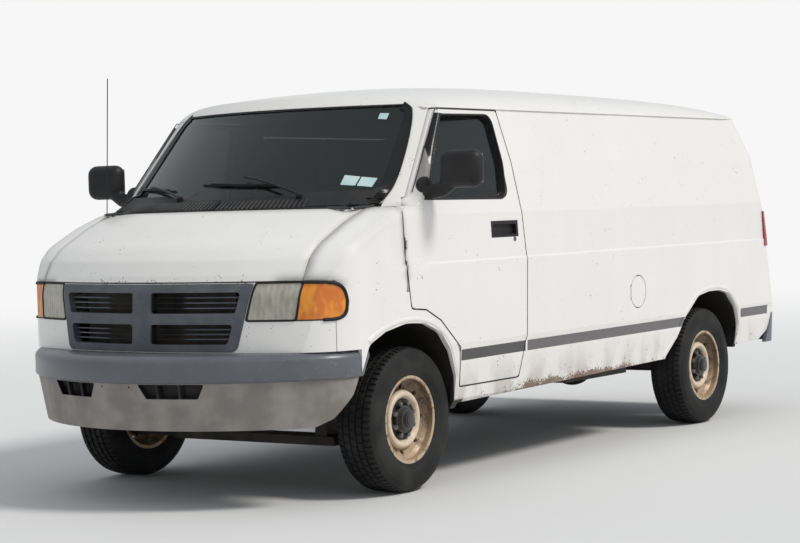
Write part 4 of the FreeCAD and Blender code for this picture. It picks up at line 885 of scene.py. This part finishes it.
bumper_bar()
bar = hand_over("bumper_bar", "bumper_grey", "van", smooth=40.0)
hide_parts("front_bumper")
low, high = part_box("front_bumper")
print("bar half width:", round(max(v.co.y for v in bar.data.vertices), 3), "solid:", round(high.y if hasattr(high, "y") else high[1], 3))

# %% [markdown]
# Two air slots are let into the valance under the bar, each a dark tray behind two upright posts.
# The posts are laid on the valance's own curve; the tray is one outline filled and set back, near black as painted
# shade behind the slot.

# %% Valance slots
SLOT_OUTLINE = ((0.1365, 0.6025), (0.4600, 0.6025), (0.4255, 0.5365), (0.1740, 0.5365))
SLOT_POSTS = ((0.2370, 0.2370), (0.3510, 0.3450))
SLOT_DEPTH, POST_HALF = 0.030, 0.0072


def valance_front(y, z):
    """The place on the valance's own curve, also where the slot has been cut away."""
    found = near_hit(lambda spot: on_end((spot,), ("front_valance",), 0.0), Vector((y, z)))
    return Vector((found.x, y, z))


def slot_tray(name, sign):
    """The outline's edges pulled back into walls, closed by one face behind, in black as painted shade."""
    clear_bench()
    path = [valance_front(y * sign, z) for y, z in spaced([Vector(spot) for spot in SLOT_OUTLINE], 0.035, True)]
    bpy.ops.mesh.primitive_circle_add(vertices=len(path), radius=0.1, location=(0, 0, 0))
    tray = bpy.context.object
    for vertex, place in zip(tray.data.vertices, path):
        vertex.co = place
    pick(lambda edge: True, "edges")
    bpy.ops.mesh.extrude_region_move(TRANSFORM_OT_translate={"value": (-SLOT_DEPTH, 0, 0)})
    bpy.ops.mesh.edge_face_add()
    bpy.ops.object.mode_set(mode="OBJECT")
    wall = tray.modifiers.new("wall", "SOLIDIFY")
    wall.thickness = 0.002
    bpy.ops.object.modifier_apply(modifier=wall.name)
    # The tray's black stands in for the shade behind the slot: painted shade.
    return hand_over(name, "dark_trim", "van", "slot_black")


def slot_post(name, sign, top_y, low_y):
    """A box pulled over one post: its eight corners are set from the valance's front."""
    clear_bench()
    bpy.ops.mesh.primitive_cube_add(size=2.0, location=(0, 0, 0))
    post = bpy.context.object
    for vertex in post.data.vertices:
        corner = vertex.co.copy()
        y, z = (top_y, 0.6030) if corner.z > 0 else (low_y, 0.5360)
        face = valance_front(y * sign, z)
        vertex.co = face + Vector((0.0015 if corner.x > 0 else -0.026, corner.y * POST_HALF, 0))
    tidy_normals()
    return hand_over(name, "dark_trim", "van", "slot_black")


for side, sign in SIDE_SIGNS:
    slot_tray("slot_tray_" + side, sign)
    for number, (top_y, low_y) in enumerate(SLOT_POSTS):
        slot_post("slot_post_" + side + "_" + str(number + 1), sign, top_y, low_y)
print("valance slots: 2")

# %% [markdown]
# The door mirror is a deep moulded shell on a swan-neck arm. Its parts flow into one another with no seam.
# Separate primitives are joined, fused by a voxel remesh and smoothed, as clay would be; the glass is a second piece.

# %% Door mirrors
MIRROR_LOW = Vector((-0.230, 1.046, 1.480))
MIRROR_HIGH = Vector((-0.126, 1.280, 1.668))
MIRROR_NECK = ((-0.170, 0.945, 1.468), (-0.172, 0.985, 1.464), (-0.174, 1.045, 1.474), (-0.178, 1.110, 1.515))


def mirror_shell():
    clear_bench()
    middle = (MIRROR_LOW + MIRROR_HIGH) / 2
    size = MIRROR_HIGH - MIRROR_LOW
    bpy.ops.mesh.primitive_cube_add(size=1.0, location=at(*middle), scale=size)
    head = bpy.context.object
    bpy.ops.object.transform_apply(location=True, rotation=True, scale=True)
    pick(lambda edge: True, "edges")
    bpy.ops.mesh.bevel(offset=0.051, segments=8, affect="EDGES")
    bpy.ops.object.mode_set(mode="OBJECT")
    pick(lambda face: face.normal.x < -0.95)
    bpy.ops.mesh.inset(thickness=-0.012)
    bpy.ops.mesh.inset(thickness=0.010)
    push(-0.010)
    bpy.ops.object.mode_set(mode="OBJECT")
    bpy.ops.object.select_all(action="DESELECT")
    bpy.ops.mesh.primitive_uv_sphere_add(segments=24, ring_count=16, radius=1.0, location=at(-0.168, 0.948, 1.480),
                                         scale=(0.054, 0.048, 0.064))
    foot = bpy.context.object
    bpy.ops.object.transform_apply(location=True, rotation=True, scale=True)
    bpy.ops.object.select_all(action="DESELECT")
    bpy.ops.mesh.primitive_circle_add(vertices=len(MIRROR_NECK), radius=0.1, location=(0, 0, 0))
    neck = bpy.context.object
    for vertex, place in zip(neck.data.vertices, MIRROR_NECK):
        vertex.co = at(*place)
    last = len(MIRROR_NECK) - 1
    pick(lambda edge: {edge.vertices[0], edge.vertices[1]} == {0, last}, "edges")
    bpy.ops.mesh.delete(type="EDGE")
    bpy.ops.object.mode_set(mode="OBJECT")
    bpy.ops.object.convert(target="CURVE")
    neck.data.bevel_depth = 0.039
    neck.data.use_fill_caps = True
    bpy.ops.object.convert(target="MESH")
    head.select_set(True)
    foot.select_set(True)
    neck.select_set(True)
    bpy.context.view_layer.objects.active = head
    bpy.ops.object.join()
    fused = head.modifiers.new("fused", "REMESH")
    fused.mode = "VOXEL"
    fused.voxel_size = 0.004
    bpy.ops.object.modifier_apply(modifier=fused.name)
    soft = head.modifiers.new("soft", "SMOOTH")
    soft.factor = 0.6
    soft.iterations = 24
    bpy.ops.object.modifier_apply(modifier=soft.name)
    return head


def mirror_plate():
    """The glass, just inside the shell's rear opening."""
    clear_bench()
    middle = (MIRROR_LOW + MIRROR_HIGH) / 2
    size = MIRROR_HIGH - MIRROR_LOW
    bpy.ops.mesh.primitive_cube_add(size=1.0, location=at(MIRROR_LOW.x + 0.006, middle.y, middle.z),
                                    scale=(0.004, size.y - 0.050, size.z - 0.048))
    bpy.ops.object.transform_apply(location=True, rotation=True, scale=True)
    pick(lambda edge: True, "edges")
    bpy.ops.mesh.bevel(offset=0.0012, segments=2, affect="EDGES")
    bpy.ops.object.mode_set(mode="OBJECT")
    return bpy.context.object


mirror_shell()
shell = hand_over("mirror_shell_left", "dark_trim", "front_door_l", smooth=60.0)
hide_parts("mirror_left")
twin = copy_of(shell, "mirror_shell_right", MIRROR_Y, "front_door_r", mirrored=True)
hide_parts("mirror_right")
mirror_plate()
plate = hand_over("mirror_plate_left", "window_glass", "front_door_l", "mirror_silver")
twin = copy_of(plate, "mirror_plate_right", MIRROR_Y, "front_door_r", mirrored=True)
print("mirror faces:", len(shell.data.polygons))

# %% [markdown]
# Air enters the cab through the black panel ahead of the windshield, between upright ribs that follow its curve.
# One rib is a bevelled bar laid on the slope. Its copies are turned about the hood edge's own centre.

# %% Cowl ribs
COWL_AXIS_X = -1.685
RIB_NEAR, RIB_FAR = (2.0140, 1.4040), (1.9450, 1.4455)
RIB_PITCH = 0.0262
RIB_FIRST, RIB_LAST = -27, 21


def cowl_rib():
    clear_bench()
    near = at(COWL_AXIS_X + RIB_NEAR[0], 0, RIB_NEAR[1])
    far = at(COWL_AXIS_X + RIB_FAR[0], 0, RIB_FAR[1])
    length = (near - far).length
    bpy.ops.mesh.primitive_cube_add(size=1.0, location=(0, 0, 0), scale=(length, 0.0085, 0.009))
    rib = bpy.context.object
    bpy.ops.object.transform_apply(location=True, rotation=True, scale=True)
    pick(lambda edge: True, "edges")
    bpy.ops.mesh.bevel(offset=0.0018, segments=2, affect="EDGES")
    bpy.ops.object.mode_set(mode="OBJECT")
    tilt = Matrix.Rotation(math.atan2(far.z - near.z, near.x - far.x), 4, "Y")
    rib.data.transform(Matrix.Translation((near + far) / 2) @ tilt)
    return rib


rib = cowl_rib()
clear_bench()
for number in range(RIB_FIRST, RIB_LAST):
    spoke = Matrix.Rotation(number * RIB_PITCH / RIB_NEAR[0], 4, "Z")
    hub_place = Matrix.Translation(at(COWL_AXIS_X, 0, 0))
    extra = rib.copy()
    extra.data = rib.data.copy()
    extra.data.transform(hub_place @ spoke @ hub_place.inverted())
    bpy.context.scene.collection.objects.link(extra)
    extra.select_set(True)
rib.select_set(True)
bpy.context.view_layer.objects.active = rib
bpy.ops.object.join()
ribs = hand_over("cowl_ribs", "dark_trim", "van", "rib_black")
print("ribs:", RIB_LAST - RIB_FIRST)

# %% [markdown]
# Each wiper is a flat arm on a pivot cap, holding a rubber blade that lies along the glass.
# Blade and arm are strips drawn through points that are lifted off the windshield; the caps are stepped discs.

# %% Wipers
WIPERS = {
    "left": {"pivot": (0.188, 0.442, 1.463), "hold": (0.075, 1.553), "blade": ((-0.195, 1.532), (0.300, 1.512))},
    "right": {"pivot": (0.206, -0.312, 1.466), "hold": (-0.640, 1.520), "blade": ((-0.780, 1.520), (-0.400, 1.506))},
}


def pivot_cap(name, place):
    clear_bench()
    bpy.ops.mesh.primitive_cylinder_add(vertices=28, radius=0.017, depth=0.020, location=place,
                                        rotation=(0, math.radians(30), 0))
    bpy.ops.object.transform_apply(location=True, rotation=True, scale=True)
    pick(lambda face: face.normal.z > 0.7 and len(face.vertices) > 8)
    bpy.ops.mesh.inset(thickness=0.004)
    push(0.004)
    bpy.ops.object.mode_set(mode="OBJECT")
    return hand_over(name, "dark_trim", "van", "wiper_black")


for side, sizes in WIPERS.items():
    pivot = at(*sizes["pivot"])
    pivot_cap("wiper_cap_" + side, pivot)
    (first_y, first_z), (last_y, last_z) = sizes["blade"]
    along = [(first_y + (last_y - first_y) * part / 8, first_z + (last_z - first_z) * part / 8) for part in range(9)]
    bead("wiper_rubber_" + side, on_end(along, ("windshield",), 0.006), 0.0048, "dark_trim", "van", False, "wiper_black")
    bead("wiper_frame_" + side, on_end(along[1:-1], ("windshield",), 0.016), 0.0042, "dark_trim", "van", False, "wiper_black")
    hold = on_end((sizes["hold"],), ("windshield",), 0.024)[0]
    knee = pivot.lerp(hold, 0.35) + Vector((0.012, 0, 0.016))
    arm = [pivot + Vector((0.004, 0, 0.010)), knee, pivot.lerp(hold, 0.75) + Vector((0.010, 0, 0.012)), hold]
    bead("wiper_arm_" + side, arm, 0.0065, "dark_trim", "van", False, "wiper_black")
print("wipers:", len(WIPERS))

# %% [markdown]
# Small things tell the eye how large a van is: the grey quarter panel in the door window, a key lock,
# blank inspection stickers and the thick rubber round the lamps. All are laid on the surface that carries them.

# %% Small fittings
KEY_LOCK = (-0.938, 1.210)
STICKERS = {
    "sticker_low_1": ((0.592, 1.560), (0.668, 1.550), (0.664, 1.506), (0.594, 1.512)),
    "sticker_low_2": ((0.674, 1.549), (0.748, 1.540), (0.742, 1.497), (0.672, 1.505)),
    "sticker_high": ((0.606, 1.872), (0.650, 1.870), (0.652, 1.838), (0.610, 1.842)),
}


def plate_on(name, spots, thickness, slot, body, finish):
    """A thin plate whose outline is a ring of points."""
    clear_bench()
    bpy.ops.mesh.primitive_circle_add(vertices=len(spots), radius=0.1, fill_type="NGON", location=(0, 0, 0))
    plate = bpy.context.object
    for vertex, place in zip(plate.data.vertices, spots):
        vertex.co = place
    bpy.ops.object.mode_set(mode="EDIT")
    bpy.ops.mesh.select_all(action="SELECT")
    bpy.ops.mesh.quads_convert_to_tris()
    bpy.ops.mesh.normals_make_consistent(inside=False)
    bpy.ops.object.mode_set(mode="OBJECT")
    wall = plate.modifiers.new("wall", "SOLIDIFY")
    wall.thickness = thickness
    wall.offset = 0.0
    bpy.ops.object.modifier_apply(modifier=wall.name)
    return hand_over(name, slot, body, finish)


for name, outline in STICKERS.items():
    spots = on_end([Vector(spot) for spot in outline], ("windshield",), 0.0012)
    plate_on(name, spots, 0.0006, "lamp_clear", "van", "sticker_paper")
for side, sign in SIDE_SIGNS:
    clear_bench()
    lock = on_side([Vector(KEY_LOCK)], ("door_front_" + side,), 0.0, sign)[0]
    bpy.ops.mesh.primitive_cylinder_add(vertices=28, radius=0.0115, depth=0.006, location=lock,
                                        rotation=(-sign * math.pi / 2, 0, 0))
    bpy.ops.object.transform_apply(location=True, rotation=True, scale=True)
    pick(lambda face: face.normal.y * sign > 0.9)
    bpy.ops.mesh.inset(thickness=0.003)
    push(-0.0012)
    bpy.ops.mesh.inset(thickness=0.0045)
    push(-0.002)
    bpy.ops.object.mode_set(mode="OBJECT")
    hand_over("key_lock_" + side, "dark_trim", "front_door_" + side[0], "lock_steel")
print("small fittings placed")

# %% [markdown]
# The wheel openings are rolled outwards, which gives each arch a soft raised lip that catches the light.
# A round strip is laid along the opening and sunk until only its crown stands proud of the panel.

# %% Arch lips
FRONT_LIP = (
    (0.500, 0.606), (0.428, 0.758), (0.285, 0.826), (0.104, 0.855), (-0.066, 0.847), (-0.220, 0.789), (-0.326, 0.679),
    (-0.378, 0.545),
)
REAR_LIP = (
    (-2.652, 0.450), (-2.800, 0.574), (-2.916, 0.706), (-3.082, 0.816), (-3.235, 0.838), (-3.391, 0.838),
    (-3.538, 0.810), (-3.666, 0.700), (-3.712, 0.572), (-3.666, 0.450),
)
LIP_RADIUS, LIP_SUNK = 0.022, 0.0165


def smooth_path(points, rounds=3):
    """Corner cutting, which turns a few measured points into an even curve."""
    path = [Vector(spot) for spot in points]
    for _ in range(rounds):
        cut = [path[0]]
        for first, second in zip(path, path[1:]):
            cut += [first.lerp(second, 0.25), first.lerp(second, 0.75)]
        path = cut + [path[-1]]
    return path


for side, sign in SIDE_SIGNS:
    line = on_side(smooth_path(FRONT_LIP)[13:], ("fenders",), -LIP_SUNK, sign)
    bead("front_arch_lip_" + side, line, LIP_RADIUS, "white_paint", "van", False)
    line = on_side(smooth_path(REAR_LIP), ("body_side_" + side,), -LIP_SUNK, sign)
    bead("rear_arch_lip_" + side, line, LIP_RADIUS, "white_paint", "van", False)
print("arch lips: 4")

# %% [markdown]
# Windshield glass runs on under a black painted border, wider than the opening, and the door glass has a grey panel
# at its front. Both are thin strips between two rows of measured points, dropped onto the panels that carry them.

# %% Glass borders and closing strips
BORDER_OUTER = ((0.700, 1.925), (0.738, 1.902), (0.761, 1.867), (0.783, 1.805), (0.803, 1.728), (0.822, 1.640),
                (0.835, 1.560), (0.839, 1.495), (0.833, 1.460), (0.826, 1.438))
BORDER_INNER = ((0.690, 1.890), (0.712, 1.880), (0.728, 1.850), (0.738, 1.790), (0.748, 1.720), (0.760, 1.640),
                (0.772, 1.560), (0.782, 1.495), (0.786, 1.460), (0.788, 1.438))
BORDER_NODES = ("windshield_frame", "windshield", "roof", "cowl_panel")
DOOR_BORDER_OUTER = ((-0.418, 1.862), (-0.402, 1.843), (-0.334, 1.762), (-0.274, 1.690), (-0.229, 1.585), (-0.206, 1.530))
DOOR_BORDER_INNER = ((-0.450, 1.862), (-0.437, 1.843), (-0.377, 1.762), (-0.324, 1.690), (-0.246, 1.585), (-0.208, 1.530))
QUARTER_OUTER = ((-0.272, 1.690), (-0.190, 1.585), (-0.145, 1.530), (-0.128, 1.500))
QUARTER_INNER = ((-0.276, 1.690), (-0.231, 1.585), (-0.208, 1.530), (-0.190, 1.500))


def laid_band(name, outer, inner, lay, thickness, slot, body, finish, columns=5):
    """A thin strip whose rows run from an outer to an inner line of points."""
    clear_bench()
    rows = len(outer)
    bpy.ops.mesh.primitive_grid_add(x_subdivisions=columns - 1, y_subdivisions=rows - 1, size=1.0, location=(0, 0, 0))
    band = bpy.context.object
    for vertex in band.data.vertices:
        row = round((vertex.co.y + 0.5) * (rows - 1))
        share = vertex.co.x + 0.5
        vertex.co = near_hit(lay, Vector(outer[row]).lerp(Vector(inner[row]), share))
    wall = band.modifiers.new("wall", "SOLIDIFY")
    wall.thickness = thickness
    wall.offset = 0.0
    bpy.ops.object.modifier_apply(modifier=wall.name)
    tidy_normals()
    return hand_over(name, slot, body, finish, smooth=50.0)


for side, sign in SIDE_SIGNS:
    door = "door_front_" + side
    laid_band("windshield_border_" + side, smooth_path(BORDER_OUTER, 2), smooth_path(BORDER_INNER, 2),
              lambda spot: on_end(((spot.x * sign, spot.y),), BORDER_NODES, 0.0035),
              0.005, "dark_trim", "van", "edge_black")
    for name, outer, inner, finish in (("door_border_", DOOR_BORDER_OUTER, DOOR_BORDER_INNER, "edge_black"),
                                       ("quarter_panel_", QUARTER_OUTER, QUARTER_INNER, "quarter_grey")):
        laid_band(name + side, outer, inner,
                  lambda spot: on_side((spot,), (door,), 0.0035, sign),
                  0.005, "dark_trim", "front_door_" + side[0], finish, 11)

# %% [markdown]
# At the foot of the windshield pillar the body shop closes three panels with a small pressed corner.
# Its four corners are measured; a rubber strip covers the hood's rear corner beside it.

# %% Pillar foot
FOOT_CORNERS = ((-0.006, 0.829, 1.4455), (-0.056, 0.880, 1.4560), (0.030, 0.9420, 1.4000), (0.110, 0.875, 1.3985))
HOOD_CORNER = ((0.225, 0.640, 1.4015), (0.246, 0.715, 1.3985), (0.248, 0.760, 1.3970), (0.238, 0.802, 1.3970),
               (0.180, 0.818, 1.3990), (0.100, 0.826, 1.4040))

for side, sign in SIDE_SIGNS:
    corners = [at(x, y * sign, z) for x, y, z in FOOT_CORNERS]
    plate_on("pillar_foot_" + side, corners, 0.003, "white_paint", "van", "white_paint")
    bead("hood_corner_seal_" + side, [at(x, y * sign, z) for x, y, z in smooth_path(HOOD_CORNER, 2)],
         0.0065, "dark_trim", "van", False, "rib_black")

# %% [markdown]
# Lamps are bedded in thick black rubber, which is the darkest line on the van's face.
# The rubber is a strip laid round each lamp's outline, thickest where the lamp wraps round to the side.

# %% Lamp rubbers
HEADLAMP_LINE = ((0.571, 0.886, 0.014), (0.800, 0.886, 0.014), (0.8235, 1.062, 0.014), (0.610, 1.062, 0.014))
TURN_SIDE_LINE = ((0.650, 0.886), (0.600, 0.886), (0.556, 0.900), (0.541, 0.945), (0.541, 0.985), (0.558, 1.030),
                  (0.600, 1.056), (0.680, 1.062))
LAMP_NODES = ("headlamps", "turn_lamps", "fenders", "nose_panel", "lamp_gaskets", "grille", "hood")

for side, sign in SIDE_SIGNS:
    outline = rounded([(y * sign, z, radius) for y, z, radius in HEADLAMP_LINE])
    bead("headlamp_rubber_" + side, on_end(outline, LAMP_NODES, 0.0), 0.0050, "dark_trim", "van", True, "slot_black")
    line = on_side(smooth_path(TURN_SIDE_LINE, 2), LAMP_NODES, 0.0, sign)
    bead("turn_lamp_rubber_" + side, line, 0.0085, "dark_trim", "van", False, "slot_black")
print("closing strips and rubbers laid")

# %% [markdown]
# A door's gap reads as one even dark line because its rubber sits just below the surface.
# The line is laid a little inside the door's edge and then moved out into the gap.

# %% Door rubbers
DOOR_EDGE = (
    (0.086, 1.372), (0.088, 1.126), (0.047, 0.904), (-0.078, 0.893), (-0.209, 0.833), (-0.391, 0.684),
    (-0.400, 0.486), (-0.971, 0.486), (-1.036, 0.700), (-1.045, 1.121), (-1.022, 1.371), (-1.018, 1.600),
    (-0.988, 1.886), (-0.425, 1.886), (-0.082, 1.4646),
)
EDGE_INSET, GAP_HALF = 0.012, 0.0022

for side, sign in SIDE_SIGNS:
    line = []
    path = spaced([Vector(spot) for spot in DOOR_EDGE], 0.03, False)
    for index, spot in enumerate(path):
        along = (path[min(index + 1, len(path) - 1)] - path[max(index - 1, 0)]).normalized()
        outward = Vector((-along.y, along.x))
        if (spot - outward * 0.05 - Vector((-0.55, 1.15))).length > (spot + outward * 0.05 - Vector((-0.55, 1.15))).length:
            outward = -outward
        found = on_side((spot - outward * EDGE_INSET,), ("door_front_" + side,), -0.0012, sign)
        if found:
            shift = outward * (EDGE_INSET + GAP_HALF)
            line.append(found[0] + Vector((shift.x, 0, shift.y)))
    bead("door_rubber_" + side, line, 0.0026, "dark_trim", "van", False, "slot_black")
print("door rubbers laid")

# %% [markdown]
# The studio is a pale floor that fades to white with distance, a soft sky and one large lamp high at the front.
# Camera rays see the pale colour, so the background never adds light to the van.

# %% Studio
FLOOR_RADIUS = 60.0
SKY_LEVEL = 0.62
KEY_STRENGTH = 2.0
KEY_ANGLE = math.radians(14)


def studio_floor():
    bpy.ops.object.select_all(action="DESELECT")
    bpy.ops.mesh.primitive_circle_add(vertices=96, radius=FLOOR_RADIUS, fill_type="NGON", location=(0, 0, 0))
    floor = bpy.context.object
    floor.name = "studio_floor"
    finish = Finish("studio_floor", Roughness=0.9, Specular_IOR_Level=0.1)
    finish.set(Base_Color=colour(0.68, 0.68, 0.68))
    spot, x, y, z = finish.place()
    reach = ((x * x) + (y * y)) ** 0.5
    glow = finish.add("ShaderNodeEmission", (), {"Color": colour(0.93, 0.93, 0.93), "Strength": 1.0})
    rays = [finish.add("ShaderNodeLightPath", output=kind) for kind in ("Is Camera Ray", "Is Glossy Ray")]
    share = finish.step(reach, 5.0, 22.0) * (rays[0] + rays[1]).limited()
    shader = Socket(finish, finish.shader.outputs[0])
    blend = finish.add("ShaderNodeMixShader", (), {0: share, 1: shader, 2: glow})
    finish.tree.links.new(blend.output, finish.tree.nodes["Material Output"].inputs["Surface"])
    floor.data.materials.append(finish.material)
    floor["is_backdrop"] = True


def studio_world():
    world = bpy.data.worlds.new("studio_sky")
    bpy.context.scene.world = world
    world.use_nodes = True
    tree = world.node_tree
    sky = tree.nodes["Background"]
    sky.inputs["Color"].default_value = colour(0.93, 0.96, 1.0)
    sky.inputs["Strength"].default_value = SKY_LEVEL
    seen = tree.nodes.new("ShaderNodeBackground")
    seen.inputs["Color"].default_value = colour(0.93, 0.93, 0.93)
    rays = tree.nodes.new("ShaderNodeLightPath")
    blend = tree.nodes.new("ShaderNodeMixShader")
    tree.links.new(rays.outputs["Is Camera Ray"], blend.inputs[0])
    tree.links.new(sky.outputs[0], blend.inputs[1])
    tree.links.new(seen.outputs[0], blend.inputs[2])
    tree.links.new(blend.outputs[0], tree.nodes["World Output"].inputs["Surface"])


def key_lamp():
    data = bpy.data.lights.new("key_lamp", "SUN")
    data.energy = KEY_STRENGTH
    data.angle = KEY_ANGLE
    data.color = (1.0, 0.975, 0.93)
    lamp = bpy.data.objects.new("key_lamp", data)
    bpy.context.scene.collection.objects.link(lamp)
    lamp.rotation_mode = "QUATERNION"
    lamp.rotation_quaternion = Vector((0.16, -0.66, -0.74)).to_track_quat("-Z", "Y")


studio_floor()
studio_world()
key_lamp()
print("studio ready")

# %% [markdown] The last cell measures both boxes, so that the dressed van can be compared with the
# construction model.

# %% Finish
look_low, look_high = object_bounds()
sizes = {"cad": [list(cad_low), list(cad_high)], "visual": [list(look_low), list(look_high)]}
print("dressed size:", [round(value, 3) for value in look_high - look_low])
